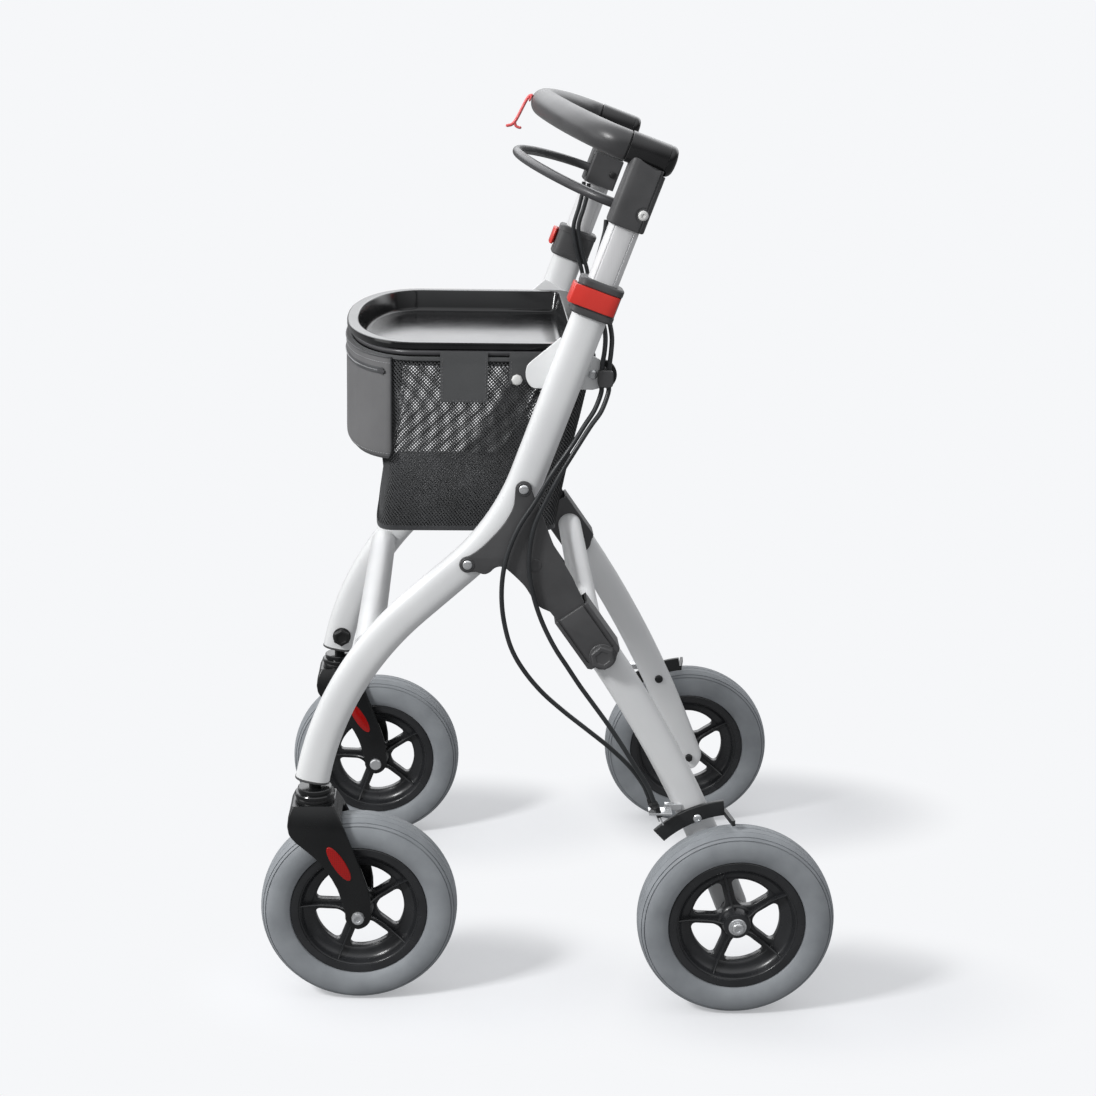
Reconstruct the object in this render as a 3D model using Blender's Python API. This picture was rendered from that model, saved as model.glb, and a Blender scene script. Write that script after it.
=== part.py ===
"""Indoor rollator with a one-piece loop handle, basket, tray and folding rear legs.

Lengths are millimetres in the named sizes and metres in the meshes.
X runs across the frame with the user's left at +X, the front faces -Y, and Z is up.
Z = 0 is the floor under the four tyres, and Y = 0 lies midway between the axles.
"""

import math

import bmesh
import bpy
from mathutils import Vector

MM = 0.001
GAP = 0.3

# Wheels and their places
WHEEL_R = 100.0
TYRE_HALF = 21.8
TYRE_SIDES = 24
RIM_SIDES = 16
RIM_LIP_R = 68.0
RIM_HALF = 17.2
RIM_BARREL_R = 59.0
RIM_WEB_R = 47.5
WEB_HALF = 5.0
HUB_R = 14.5
HUB_HALF = 19.0
AXLE_R = 4.0
WHEELBASE = 379.0
REAR_TRACK_HALF = 232.5
FRONT_TRACK_HALF = 198.0
AXLE_Z = WHEEL_R * math.cos(math.pi / TYRE_SIDES)
REAR_AXLE_Y = WHEELBASE / 2
FRONT_AXLE_Y = -WHEELBASE / 2
CASTER_TRAIL = 43.0
CASTER_Y = FRONT_AXLE_Y - CASTER_TRAIL
REFLECTOR = (-208.0, 158.0)

# Leaning posts: the collar's middle, and the lean from upright
POST_X = 198.0
POST_Y = 36.5
POST_Z = 719.0
POST_LEAN = math.radians(20.0)

# Side tubes
TUBE_HALF_DEPTH = 17.0
TUBE_HALF_WIDTH = 12.0
TUBE_WALL = 1.6
TUBE_TOP_T = 10.0
UPPER_BEND = (-44.5, 496.0)
UPPER_BEND_R = 230.0
LOWER_BEND = (-213.5, 345.0)
LOWER_BEND_R = 320.0
TUBE_FOOT = (-234.5, 238.0)
HOUSING_BOLT = (-229.0, 254.0)
FRONT_CROSS = (-179.0, 371.0)
FRONT_CROSS_R = 14.0
REAR_CROSS = (38.0, 394.0)
REAR_CROSS_R = 13.0
CROSS_WALL = 1.5

# Telescopic tubes and collars
INNER_HALF_DEPTH = 14.9
INNER_HALF_WIDTH = 9.8
INNER_WALL = 1.5
INNER_TOP_T = 116.0
INNER_FOOT_T = -125.0
COLLAR_HALF_HEIGHT = 17.0
COLLAR_HALF_DEPTH = 21.5
COLLAR_HALF_WIDTH = 17.0
BAND_LOW_T = -9.0
BAND_TOP_T = 9.5
LEVER_PIN_X = 212.2
LEVER_PIN_V = 15.5
LEVER_PIN_R = 1.8
LEVER_BARREL_R = 4.0

# Loop handle and its brackets
HANDLE_T = 141.0
HANDLE_FRONT_V = -97.0
HANDLE_BEND_V = -27.0
HANDLE_PULLS = (42.0, 34.0)
HANDLE_TAIL = 13.7
GRIP_R = 14.0
HANDLE_TUBE_R = 11.0
SLEEVE_R = 14.6
SLEEVE_V = (-23.5, 14.0)
BRACKET_FOOT_T = 71.3
BRACKET_HALF_DEPTH = 18.0
BRACKET_HALF_WIDTH = 15.0

# Brake loop under the handle
LOOP_T = 88.0
LOOP_V = 10.6
LOOP_HALF = 177.5
LOOP_FRONT_V = -106.0
LOOP_BEND_V = -18.0
LOOP_PULLS = (38.0, 78.0)
LOOP_DROP = 1.6
LOOP_R = 4.7
SCREW_R = 2.7
CHEEK_X = (170.0, 185.0)
SLOT_X = (172.4, 182.6)
CHEEK_V = (-16.0, 17.5)
CHEEK_T = (71.3, 105.0)

# Rear legs and the hinge
PIVOT = (49.5, 373.0)
LEG_BEND = (123.6, 263.2)
LEG_BEND_R = 1200.0
LEG_HALF_DEPTH = 16.3
LEG_HALF_WIDTH = 10.5
LEG_WALL = 1.6
HOUSING_LEAN = math.radians(35.0)
HOUSING_ABOVE = 54.0
HOUSING_BELOW = 6.0
HOUSING_FRONT = 19.2
HOUSING_REAR = 18.6
HOUSING_X = (183.7, 217.0)
HOUSING_WALL = 3.0
BOLT_R = 4.0
GUSSET_X = (210.4, 213.4)
RIVETS = ((-29.0, 539.0), (-82.0, 464.0))
RIVET_LOBE_R = 8.0

# Brake bars on the rear legs
BAR_PIVOT_R = 109.0
BAR_PIVOT_ANGLE = math.radians(111.5)
BAR_INNER_R = 104.8
BAR_OUTER_R = 120.5
BAR_ANGLES = (96.7, 133.7)
BAR_X = (209.2, 214.0)
SHOE_R = (104.8, 110.5)
SHOE_REACH = 241.0

# Basket and tray
BASKET_LEVELS = ((482.0, 156.0, -174.0, 5.0, 8.0), (508.0, 158.0, -171.0, 9.0, 7.0),
                 (535.0, 160.5, -167.0, 14.0, 6.0), (560.0, 162.5, -170.0, 19.0, 5.5),
                 (600.0, 166.0, -186.0, 28.0, 3.2), (657.0, 168.0, -202.0, 40.0, 2.2))
BASKET_WALL = 3.0
FRONT_POWER = 2.2
FRONT_CENTRE_Y = -130.0
REAR_CORNER_R = 18.0
RIM_Z = 660.3
RIM_R = 3.0
TRAY_HALF = 168.0
TRAY_FRONT = -206.0
TRAY_REAR = 30.0
TRAY_TOP = 670.8
TRAY_FLOOR = 648.0
POUCH_END_Y = -156.2
POUCH_FOOT = 556.5
STUD = (-36.0, 638.0)

# Cables
CABLE_R = 2.3
CLIP_X = 191.0
CLIP_Y = (44.0, 50.9)
CLIP_Z = (634.0, 651.0)

FINISHES = {
    "satin_white_paint": ("e9eaeb", 0.38, 0.0),
    "dark_grey_plastic": ("4f5153", 0.5, 0.0),
    "black_gloss_plastic": ("0d0e0f", 0.12, 0.0),
    "grip_rubber": ("55585b", 0.45, 0.0),
    "brake_loop_coating": ("44474a", 0.35, 0.0),
    "tyre_rubber": ("8f969b", 0.7, 0.0),
    "rim_plastic": ("1c1d1f", 0.42, 0.0),
    "zinc_steel": ("c8cacc", 0.3, 1.0),
    "drawn_aluminium": ("dfe1e3", 0.32, 1.0),
    "red_plastic": ("dd4a41", 0.4, 0.0),
    "red_wire_coating": ("e8585a", 0.4, 0.0),
    "basket_mesh_fabric": ("3d3f42", 0.85, 0.0),
    "pouch_fabric": ("66686b", 0.85, 0.0),
    "cable_sheath": ("2b2d30", 0.45, 0.0),
}


def clear_scene():
    for item in list(bpy.data.objects):
        bpy.data.objects.remove(item, do_unlink=True)


def srgb_to_linear(channel):
    if channel <= 0.04045:
        return channel / 12.92
    return ((channel + 0.055) / 1.055) ** 2.4


def make_finishes():
    made = {}
    for name, (code, roughness, metallic) in FINISHES.items():
        material = bpy.data.materials.new(name)
        material.use_nodes = True
        shader = material.node_tree.nodes["Principled BSDF"]
        channels = [srgb_to_linear(int(code[i:i + 2], 16) / 255) for i in (0, 2, 4)]
        shader.inputs["Base Color"].default_value = (*channels, 1.0)
        shader.inputs["Roughness"].default_value = roughness
        shader.inputs["Metallic"].default_value = metallic
        made[name] = material
    return made


class Body:
    """An empty on a joint's axis that carries the pieces which move with it."""

    def __init__(self, name, origin=(0.0, 0.0, 0.0)):
        self.origin = Vector(origin) * MM
        self.empty = bpy.data.objects.new(name, None)
        self.empty.location = self.origin
        bpy.context.collection.objects.link(self.empty)


def to_mesh(name, shapes, origin):
    """One mesh from several closed shapes, each a pair of points and faces in millimetres."""
    work = bmesh.new()
    for points, faces in shapes:
        shell = bmesh.new()
        verts = [shell.verts.new(Vector(p) * MM - origin) for p in points]
        for face in faces:
            shell.faces.new([verts[i] for i in face])
        bmesh.ops.recalc_face_normals(shell, faces=shell.faces)
        part = bpy.data.meshes.new("shell")
        shell.to_mesh(part)
        shell.free()
        work.from_mesh(part)
        bpy.data.meshes.remove(part)
    mesh = bpy.data.meshes.new(name)
    work.to_mesh(mesh)
    work.free()
    return mesh


def add_piece(name, shapes, finish, body):
    mesh = to_mesh(name, shapes, body.origin)
    mesh.materials.append(materials[finish])
    mesh.shade_smooth()
    mesh.set_sharp_from_angle(angle=math.radians(38))
    piece = bpy.data.objects.new(name, mesh)
    piece.parent = body.empty
    bpy.context.collection.objects.link(piece)
    return piece


def add_tool(piece, shapes, operation):
    """A guide solid that is cut from a piece or joined to it, and is itself left out."""
    count = len(piece.modifiers)
    mesh = to_mesh(f"{piece.name}_tool_{count}", shapes, Vector((0.0, 0.0, 0.0)))
    tool = bpy.data.objects.new(mesh.name, mesh)
    tool.hide_render = True
    tool.display_type = "WIRE"
    bpy.context.collection.objects.link(tool)
    step = piece.modifiers.new(f"{operation.lower()}_{count}", "BOOLEAN")
    step.operation = operation
    step.solver = "EXACT"
    step.object = tool


def cut(piece, *shapes):
    add_tool(piece, shapes, "DIFFERENCE")


def join(piece, *shapes):
    add_tool(piece, shapes, "UNION")


def loft(rings, closed=False):
    """A skin over rings of equal count, capped at both ends or joined end to start."""
    count = len(rings[0])
    points = [p for ring in rings for p in ring]
    faces = []
    spans = len(rings) if closed else len(rings) - 1
    for i in range(spans):
        a = i * count
        b = ((i + 1) % len(rings)) * count
        for j in range(count):
            k = (j + 1) % count
            faces.append((a + j, a + k, b + k, b + j))
    if not closed:
        faces.append(tuple(range(count)))
        faces.append(tuple(range(len(points) - count, len(points))))
    return points, faces


def ring(centre, axis, radius, sides, phase=0.0):
    axis = Vector(axis).normalized()
    across = Vector((1.0, 0.0, 0.0)) if abs(axis.x) < 0.9 else Vector((0.0, 0.0, -1.0))
    first = (across - axis * across.dot(axis)).normalized()
    second = axis.cross(first)
    turns = [phase + 2 * math.pi * i / sides for i in range(sides)]
    return [Vector(centre) + first * radius * math.cos(a) + second * radius * math.sin(a)
            for a in turns]


def rod(start, end, radius, sides=16, phase=0.0):
    axis = Vector(end) - Vector(start)
    return loft([ring(start, axis, radius, sides, phase), ring(end, axis, radius, sides, phase)])


def stepped_rod(stations, axis, sides=16, phase=0.0):
    """A turned rod from (centre, radius) stations along one axis."""
    return loft([ring(centre, axis, radius, sides, phase) for centre, radius in stations])


def pipe(start, end, outer, inner, sides=16):
    axis = Vector(end) - Vector(start)
    return loft([ring(start, axis, outer, sides), ring(end, axis, outer, sides),
                 ring(end, axis, inner, sides), ring(start, axis, inner, sides)], closed=True)


def turned(profile, centre, sides, phase=0.0):
    """A closed profile of (x, radius) turned about the X axis through centre."""
    cx, cy, cz = centre
    rings = [ring((cx + x, cy, cz), (1, 0, 0), radius, sides, phase) for x, radius in profile]
    return loft(rings, closed=True)


def plate(outline, x0, x1):
    """A flat plate of a (y, z) outline between two X planes."""
    return loft([[Vector((x, y, z)) for y, z in outline] for x in (x0, x1)])


def block(low, high):
    (x0, y0, z0), (x1, y1, z1) = low, high
    return plate([(y0, z0), (y1, z0), (y1, z1), (y0, z1)], x0, x1)


def superellipse(half_a, half_b, sides, power=2.6):
    points = []
    for i in range(sides):
        turn = 2 * math.pi * (i + 0.5) / sides
        a = math.copysign(abs(math.cos(turn)) ** (2 / power), math.cos(turn))
        b = math.copysign(abs(math.sin(turn)) ** (2 / power), math.sin(turn))
        points.append((half_a * a, half_b * b))
    return points


def oval(centre, along, half_depth, half_width, sides=12):
    """An oval ring square to a (y, z) direction: depth in the side plane, width along X."""
    x, y, z = centre
    ay, az = along
    size = math.hypot(ay, az)
    ny, nz = az / size, -ay / size
    return [Vector((x + w, y + d * ny, z + d * nz))
            for d, w in superellipse(half_depth, half_width, sides)]


def bent_line(corners, radii, step=math.radians(7)):
    """Points and directions along straight runs whose inner corners are arcs."""
    line = [(Vector(corners[0]), (Vector(corners[1]) - Vector(corners[0])).normalized())]
    for i in range(1, len(corners) - 1):
        before = (Vector(corners[i]) - Vector(corners[i - 1])).normalized()
        after = (Vector(corners[i + 1]) - Vector(corners[i])).normalized()
        turn = before.angle_signed(after)
        reach = radii[i - 1] * math.tan(abs(turn) / 2)
        start = Vector(corners[i]) - before * reach
        side = math.copysign(1.0, turn)
        normal = Vector((before.y, -before.x)) * side
        centre = start + normal * radii[i - 1]
        count = max(2, math.ceil(abs(turn) / step))
        for k in range(count + 1):
            angle = turn * k / count
            spin = Vector((math.cos(angle), math.sin(angle)))
            arm = Vector((-normal.x * spin.x - normal.y * spin.y,
                          normal.x * spin.y - normal.y * spin.x))
            way = Vector((before.x * spin.x + before.y * spin.y,
                          -before.x * spin.y + before.y * spin.x))
            line.append((centre + arm * radii[i - 1], way))
    line.append((Vector(corners[-1]), (Vector(corners[-1]) - Vector(corners[-2])).normalized()))
    return line


def post_point(x, t, v):
    """A place by a post: t up along it from the collar's middle, v square to it, rearward."""
    lean_s, lean_c = math.sin(POST_LEAN), math.cos(POST_LEAN)
    return Vector((x, POST_Y + t * lean_s + v * lean_c, POST_Z + t * lean_c - v * lean_s))


POST_UP = Vector((0.0, math.sin(POST_LEAN), math.cos(POST_LEAN)))
POST_BACK = Vector((0.0, math.cos(POST_LEAN), -math.sin(POST_LEAN)))


def post_prism(outline, t0, t1):
    """A solid of an (x, v) outline between two heights along the post."""
    return loft([[post_point(x, t, v) for x, v in outline] for t in (t0, t1)])


def post_oval(x, t, half_depth, half_width, sides=12):
    return [post_point(x + w, t, d) for d, w in superellipse(half_depth, half_width, sides)]


def housing_point(down, back):
    """A (y, z) place in the hinge housing: down the leg from the pivot, back square to it."""
    lean_s, lean_c = math.sin(HOUSING_LEAN), math.cos(HOUSING_LEAN)
    return (PIVOT[0] + down * lean_s + back * lean_c, PIVOT[1] - down * lean_c + back * lean_s)


def tube_along(path, radius, sides, closed=False, bore=None):
    """A round tube on 3-D points, its rings square to the path."""
    rings = []
    count = len(path)
    for i, point in enumerate(path):
        ahead = path[(i + 1) % count] if closed else path[min(i + 1, count - 1)]
        behind = path[(i - 1) % count] if closed else path[max(i - 1, 0)]
        rings.append((point, Vector(ahead) - Vector(behind)))
    up = rings[0][1].orthogonal().normalized()
    outer, inner = [], []
    for point, way in rings:
        way = way.normalized()
        up = (up - way * up.dot(way)).normalized()
        side = way.cross(up)
        turns = [2 * math.pi * k / sides for k in range(sides)]
        spread = [up * math.cos(a) + side * math.sin(a) for a in turns]
        outer.append([Vector(point) + s * radius for s in spread])
        if bore:
            inner.append([Vector(point) + s * bore for s in spread])
    if bore:
        return loft(outer + inner[::-1], closed=True)
    return loft(outer, closed=closed)


def bowed_path(half, tail_v, bend_v, front_v, pulls, t, steps=9):
    """A bow in the plane square to the posts: straight tails, then a curve round the front."""
    knots = [(half, bend_v), (half, bend_v - pulls[0]), (pulls[1], front_v), (0.0, front_v)]
    left = [(half, tail_v)]
    for i in range(steps + 1):
        s = i / steps
        shares = ((1 - s) ** 3, 3 * (1 - s) ** 2 * s, 3 * (1 - s) * s ** 2, s ** 3)
        left.append(tuple(sum(k * knot[axis] for k, knot in zip(shares, knots)) for axis in (0, 1)))
    flat = left + [(-x, v) for x, v in left[-2::-1]]
    return [post_point(x, t, v) for x, v in flat]


def circle_part(centre, radius, start, end, steps):
    """Points on an arc in degrees, counted from +Y towards +Z."""
    turns = [math.radians(start + (end - start) * i / steps) for i in range(steps + 1)]
    return [(centre[0] + radius * math.cos(a), centre[1] + radius * math.sin(a)) for a in turns]


def mirrored(shape, side):
    points, faces = shape
    return [Vector((p[0] * side, p[1], p[2])) for p in points], faces


SIDES = (("left", 1), ("right", -1))


def both(make):
    """The same shape on the left and on the right."""
    return [mirrored(make, side) for _, side in SIDES]


def add_pair(name, shape, finish, body):
    """The same piece on the left and on the right, each a node of its own."""
    return [add_piece(f"{name}_{end}", [mirrored(shape, side)], finish, body)
            for end, side in SIDES]


def side_tube_line():
    top = post_point(POST_X, TUBE_TOP_T, 0.0)
    corners = [(top.y, top.z), UPPER_BEND, LOWER_BEND, TUBE_FOOT]
    return bent_line(corners, (UPPER_BEND_R, LOWER_BEND_R))


def make_side_tube(name, side):
    line = side_tube_line()
    skin, bore = [], []
    for point, way in line:
        centre = (POST_X, point.x, point.y)
        skin.append(oval(centre, way, TUBE_HALF_DEPTH, TUBE_HALF_WIDTH))
        bore.append(oval(centre, way, TUBE_HALF_DEPTH - TUBE_WALL, TUBE_HALF_WIDTH - TUBE_WALL))
    shape = loft(skin + bore[::-1], closed=True)
    tube = add_piece(f"main_tube_{name}", [mirrored(shape, side)], "satin_white_paint", frame)
    holes = [rod((205.0, y, z), (213.0, y, z), 2.8, 10) for y, z in RIVETS]
    holes.append(rod((184.0, *HOUSING_BOLT), (189.0, *HOUSING_BOLT), 4.5, 12))
    cut(tube, *[mirrored(hole, side) for hole in holes])


def make_cross_tubes():
    reach = POST_X - TUBE_HALF_WIDTH - GAP - 0.2
    y, z = FRONT_CROSS
    add_piece("front_cross_tube",
              [pipe((-reach, y, z), (reach, y, z), FRONT_CROSS_R, FRONT_CROSS_R - CROSS_WALL, 16)],
              "satin_white_paint", frame)
    reach = HOUSING_X[0] - GAP
    y, z = REAR_CROSS
    add_piece("rear_cross_tube",
              [pipe((-reach, y, z), (reach, y, z), REAR_CROSS_R, REAR_CROSS_R - CROSS_WALL, 16)],
              "satin_white_paint", frame)


def make_collar(name, side):
    """The clamp collar at a side tube's top, with a recess for the lever's band."""
    low = [post_oval(POST_X, t, TUBE_HALF_DEPTH + GAP, TUBE_HALF_WIDTH + GAP)
           for t in (-COLLAR_HALF_HEIGHT, TUBE_TOP_T + GAP)]
    high = [post_oval(POST_X, t, INNER_HALF_DEPTH + GAP, INNER_HALF_WIDTH + GAP)
            for t in (TUBE_TOP_T + GAP, COLLAR_HALF_HEIGHT)]
    skin = [[post_point(POST_X + w, t, d) for d, w in
             superellipse(COLLAR_HALF_DEPTH - trim, COLLAR_HALF_WIDTH - trim, 12, 5.0)]
            for t, trim in ((COLLAR_HALF_HEIGHT, 1.2), (COLLAR_HALF_HEIGHT - 1.2, 0.0),
                            (1.2 - COLLAR_HALF_HEIGHT, 0.0), (-COLLAR_HALF_HEIGHT, 1.2))]
    shape = loft(skin + low + high, closed=True)
    collar = add_piece(f"height_collar_{name}", [mirrored(shape, side)], "dark_grey_plastic", frame)
    recess = [(211.6, -24.0), (217.0, -24.0), (217.0, 24.0), (211.6, 24.0)]
    cut(collar, mirrored(post_prism(recess, BAND_LOW_T - 0.4, BAND_TOP_T + 0.4), side))
    pocket = [post_point(LEVER_PIN_X, t, LEVER_PIN_V) for t in (BAND_LOW_T - 0.4, BAND_TOP_T + 0.4)]
    cut(collar, mirrored(rod(*pocket, LEVER_BARREL_R + 0.5), side))
    pin = [post_point(LEVER_PIN_X, t, LEVER_PIN_V) for t in (BAND_LOW_T - 3.0, BAND_TOP_T + 3.0)]
    join(collar, mirrored(rod(*pin, LEVER_PIN_R, 10), side))


def make_lever(name, side):
    """The red clamp lever: a barrel on the pin, a band along the outside and a front tip."""
    pin = post_point(LEVER_PIN_X * side, 0.0, LEVER_PIN_V)
    body = Body(f"lever_{name}_axis", pin)
    x0, v0, r = LEVER_PIN_X, LEVER_PIN_V, LEVER_BARREL_R
    barrel = [(x0 + r * math.cos(a), v0 + r * math.sin(a))
              for a in [math.radians(20 + 35 * i) for i in range(6)]]
    outline = [(218.0, -24.0), (217.4, 10.0)] + barrel
    outline += [(x0 - 0.1, v0 - r), (212.9, -20.5), (212.9, -22.3), (196.0, -22.3), (194.0, -24.5),
                (196.0, -27.6), (214.5, -27.6)]
    shape = post_prism(outline, BAND_LOW_T, BAND_TOP_T)
    lever = add_piece(f"height_lever_{name}", [mirrored(shape, side)], "red_plastic", body)
    hole = rod(post_point(x0, BAND_LOW_T - 1, v0), post_point(x0, BAND_TOP_T + 1, v0),
               LEVER_PIN_R + 0.3, 10)
    cut(lever, mirrored(hole, side))


def make_telescopic_tube(name, side, body):
    skin = [post_oval(POST_X, t, INNER_HALF_DEPTH, INNER_HALF_WIDTH)
            for t in (INNER_FOOT_T, INNER_TOP_T)]
    bore = [post_oval(POST_X, t, INNER_HALF_DEPTH - INNER_WALL, INNER_HALF_WIDTH - INNER_WALL)
            for t in (INNER_TOP_T, INNER_FOOT_T)]
    tube = add_piece(f"telescopic_tube_{name}", [mirrored(loft(skin + bore, closed=True), side)],
                     "drawn_aluminium", body)
    cut(tube, mirrored(screw_room(), side))


def screw_room():
    """The room for the screw that holds the bracket to its tube and carries the brake loop."""
    return rod(post_point(166.0, LOOP_T, LOOP_V), post_point(218.0, LOOP_T, LOOP_V),
               SCREW_R + GAP, 12)


def make_handle_bracket(name, side, body):
    """A moulded T: a sleeve down over the post's tube and a sleeve along the handle tube."""
    skin = [[post_point(POST_X + w, t, d) for d, w in
             superellipse(BRACKET_HALF_DEPTH, BRACKET_HALF_WIDTH, 12, 5.0)]
            for t in (BRACKET_FOOT_T, HANDLE_T)]
    bracket = add_piece(f"handle_bracket_{name}", [mirrored(loft(skin), side)],
                        "dark_grey_plastic", body)
    sleeve = rod(*[post_point(POST_X, HANDLE_T, v) for v in SLEEVE_V], SLEEVE_R, 16)
    join(bracket, mirrored(sleeve, side))
    cap_room = [(POST_X - 17, SLEEVE_V[1]), (POST_X + 17, SLEEVE_V[1]),
                (POST_X + 17, 26.0), (POST_X - 17, 26.0)]
    cut(bracket, mirrored(post_prism(cap_room, HANDLE_T - SLEEVE_R - GAP, HANDLE_T + 5.0), side))
    cheek = [(CHEEK_X[0], CHEEK_V[0]), (CHEEK_X[1], CHEEK_V[0]),
             (CHEEK_X[1], CHEEK_V[1]), (CHEEK_X[0], CHEEK_V[1])]
    join(bracket, mirrored(post_prism(cheek, *CHEEK_T), side))
    slot = [(SLOT_X[0], -18.0), (SLOT_X[1], -18.0), (SLOT_X[1], 16.2), (SLOT_X[0], 16.2)]
    cut(bracket, mirrored(post_prism(slot, LOOP_T - 12.5, LOOP_T + 14.0), side))
    tube_room = loft([post_oval(POST_X, t, INNER_HALF_DEPTH + GAP, INNER_HALF_WIDTH + GAP)
                      for t in (BRACKET_FOOT_T - 2.0, INNER_TOP_T + GAP)])
    cut(bracket, mirrored(tube_room, side))
    handle_room = rod(post_point(POST_X, HANDLE_T, SLEEVE_V[0] - 2),
                      post_point(POST_X, HANDLE_T, SLEEVE_V[1] + 2), HANDLE_TUBE_R + 0.8, 16)
    cut(bracket, mirrored(handle_room, side))
    cut(bracket, mirrored(screw_room(), side))


def make_handle(body):
    for name, side in SIDES:
        make_telescopic_tube(name, side, body)
        make_handle_bracket(name, side, body)
    bow = (HANDLE_BEND_V, HANDLE_FRONT_V, HANDLE_PULLS, HANDLE_T)
    core = bowed_path(POST_X, HANDLE_TAIL, *bow)
    add_piece("handle_tube", [tube_along(core, HANDLE_TUBE_R, 10)], "drawn_aluminium", body)
    cover = bowed_path(POST_X, SLEEVE_V[0] - GAP, *bow)
    add_piece("handle_grip", [tube_along(cover, GRIP_R, 10, bore=HANDLE_TUBE_R + 0.9)],
              "grip_rubber", body)
    stations = ((SLEEVE_V[1] + GAP, 14.6), (16.4, 14.6), (20.2, 12.4), (22.6, 7.0))
    cap = stepped_rod([(post_point(POST_X, HANDLE_T, v), r) for v, r in stations], POST_BACK, 16)
    add_pair("handle_end_cap", cap, "black_gloss_plastic", body)
    screw = stepped_rod([(post_point(x, LOOP_T, LOOP_V), r) for x, r in
                         ((167.2, 4.2), (168.0, 5.2), (169.7, 5.2), (169.7, SCREW_R),
                          (213.3, SCREW_R), (213.3, 5.4), (214.6, 5.4), (215.6, 4.2))],
                        (1, 0, 0), 10)
    add_pair("brake_pivot_screw", screw, "zinc_steel", body)
    make_bag_hook(body)


def make_bag_hook(body):
    """A coated wire hook that stands forward from the middle of the grip and forks in two."""
    root = post_point(0.0, HANDLE_T, HANDLE_FRONT_V - GRIP_R - GAP)
    knee = Vector((0.0, -36.5, 866.0))
    stem = [root, root - POST_BACK * 3.2, knee, Vector((0.0, -45.5, 861.5))]
    hook = add_piece("bag_hook", [tube_along(stem, 1.6, 6)], "red_wire_coating", body)
    tongue = [knee + Vector((0, 0.3, 0.5)), Vector((0.0, -35.3, 862.0)), Vector((0.0, -32.8, 860.4)),
              Vector((0.0, -29.6, 860.0))]
    join(hook, tube_along(tongue, 1.4, 6))
    join(hook, stepped_rod([(root, 4.2), (root - POST_BACK * 1.8, 4.2)], POST_BACK, 10))


def make_brake_loop():
    pivot = post_point(0.0, LOOP_T, LOOP_V)
    body = Body("brake_loop_axis", pivot)
    path = bowed_path(LOOP_HALF, LOOP_V - 3.0, LOOP_BEND_V, LOOP_FRONT_V, LOOP_PULLS,
                      LOOP_T - LOOP_DROP)
    loop = add_piece("brake_loop", [tube_along(path, LOOP_R, 8)], "brake_loop_coating", body)
    eye = rod(post_point(173.5, LOOP_T, LOOP_V), post_point(181.5, LOOP_T, LOOP_V), 5.6, 12)
    join(loop, *both(eye))
    hole = rod(post_point(170.0, LOOP_T, LOOP_V), post_point(185.0, LOOP_T, LOOP_V), 3.0, 10)
    cut(loop, *both(hole))


def gusset_outline():
    low_lobe = circle_part(RIVETS[1], RIVET_LOBE_R, 100, 290, 6)
    top_lobe = circle_part(RIVETS[0], RIVET_LOBE_R, 10, 165, 5)
    lower_edge = [(-63.0, 454.0), (-56.0, 461.5), (-50.0, 463.0), (-43.0, 459.5), (-28.0, 445.0),
                  (-20.0, 432.0), (-13.0, 422.0), (0.0, 415.5)]
    tongue = [housing_point(-HOUSING_ABOVE, -16.4), housing_point(-6.0, -16.0),
              housing_point(2.0, -12.0), housing_point(5.0, 0.0), housing_point(2.0, 12.0),
              housing_point(-6.0, 15.6), housing_point(-HOUSING_ABOVE, 15.6)]
    rear_edge = [(19.5, 451.0), (8.5, 470.0), (0.5, 484.0), (-8.0, 506.0)]
    left_edge = [(-38.0, 521.0), (-47.0, 505.5), (-60.0, 490.0), (-73.0, 478.0)]
    return low_lobe + lower_edge + tongue + rear_edge + top_lobe + left_edge


def make_gusset(name, side):
    gusset = add_piece(f"gusset_plate_{name}", [mirrored(plate(gusset_outline(), *GUSSET_X), side)],
                       "dark_grey_plastic", frame)
    cut(gusset, mirrored(rod((208.0, *PIVOT), (216.0, *PIVOT), BOLT_R + GAP, 16), side))
    for y, z in RIVETS:
        stations = [((206.5, y, z), 2.4), ((213.0, y, z), 2.4), ((213.0, y, z), 4.6),
                    ((214.5, y, z), 4.6), ((215.6, y, z), 2.8)]
        join(gusset, mirrored(stepped_rod(stations, (1, 0, 0), 10), side))


def make_hinge_housing(name, side):
    """A box over the leg's top: two cheeks, a rear wall that stops the leg, a short front wall."""
    above, below = -HOUSING_ABOVE, HOUSING_BELOW
    front, rear = -HOUSING_FRONT, HOUSING_REAR
    outline = [housing_point(above, front), housing_point(below - 3, front),
               housing_point(below, front + 3), housing_point(below, rear - 3),
               housing_point(below - 3, rear), housing_point(above, rear)]
    box = add_piece(f"hinge_housing_{name}", [mirrored(plate(outline, *HOUSING_X), side)],
                    "dark_grey_plastic", frame)
    room = [housing_point(above - 4, front + 2.0), housing_point(below + 4, front + 2.0),
            housing_point(below + 4, rear - 2.0), housing_point(above - 4, rear - 2.0)]
    inner = (HOUSING_X[0] + HOUSING_WALL, HOUSING_X[1] - HOUSING_WALL)
    cut(box, mirrored(plate(room, *inner), side))
    relief = [housing_point(-4.5, front - 2), housing_point(below + 4, front - 2),
              housing_point(below + 4, front + 6), housing_point(-4.5, front + 6)]
    cut(box, mirrored(plate(relief, *inner), side))
    cut(box, mirrored(rod((180.0, *PIVOT), (220.0, *PIVOT), BOLT_R + GAP, 16), side))


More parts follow.
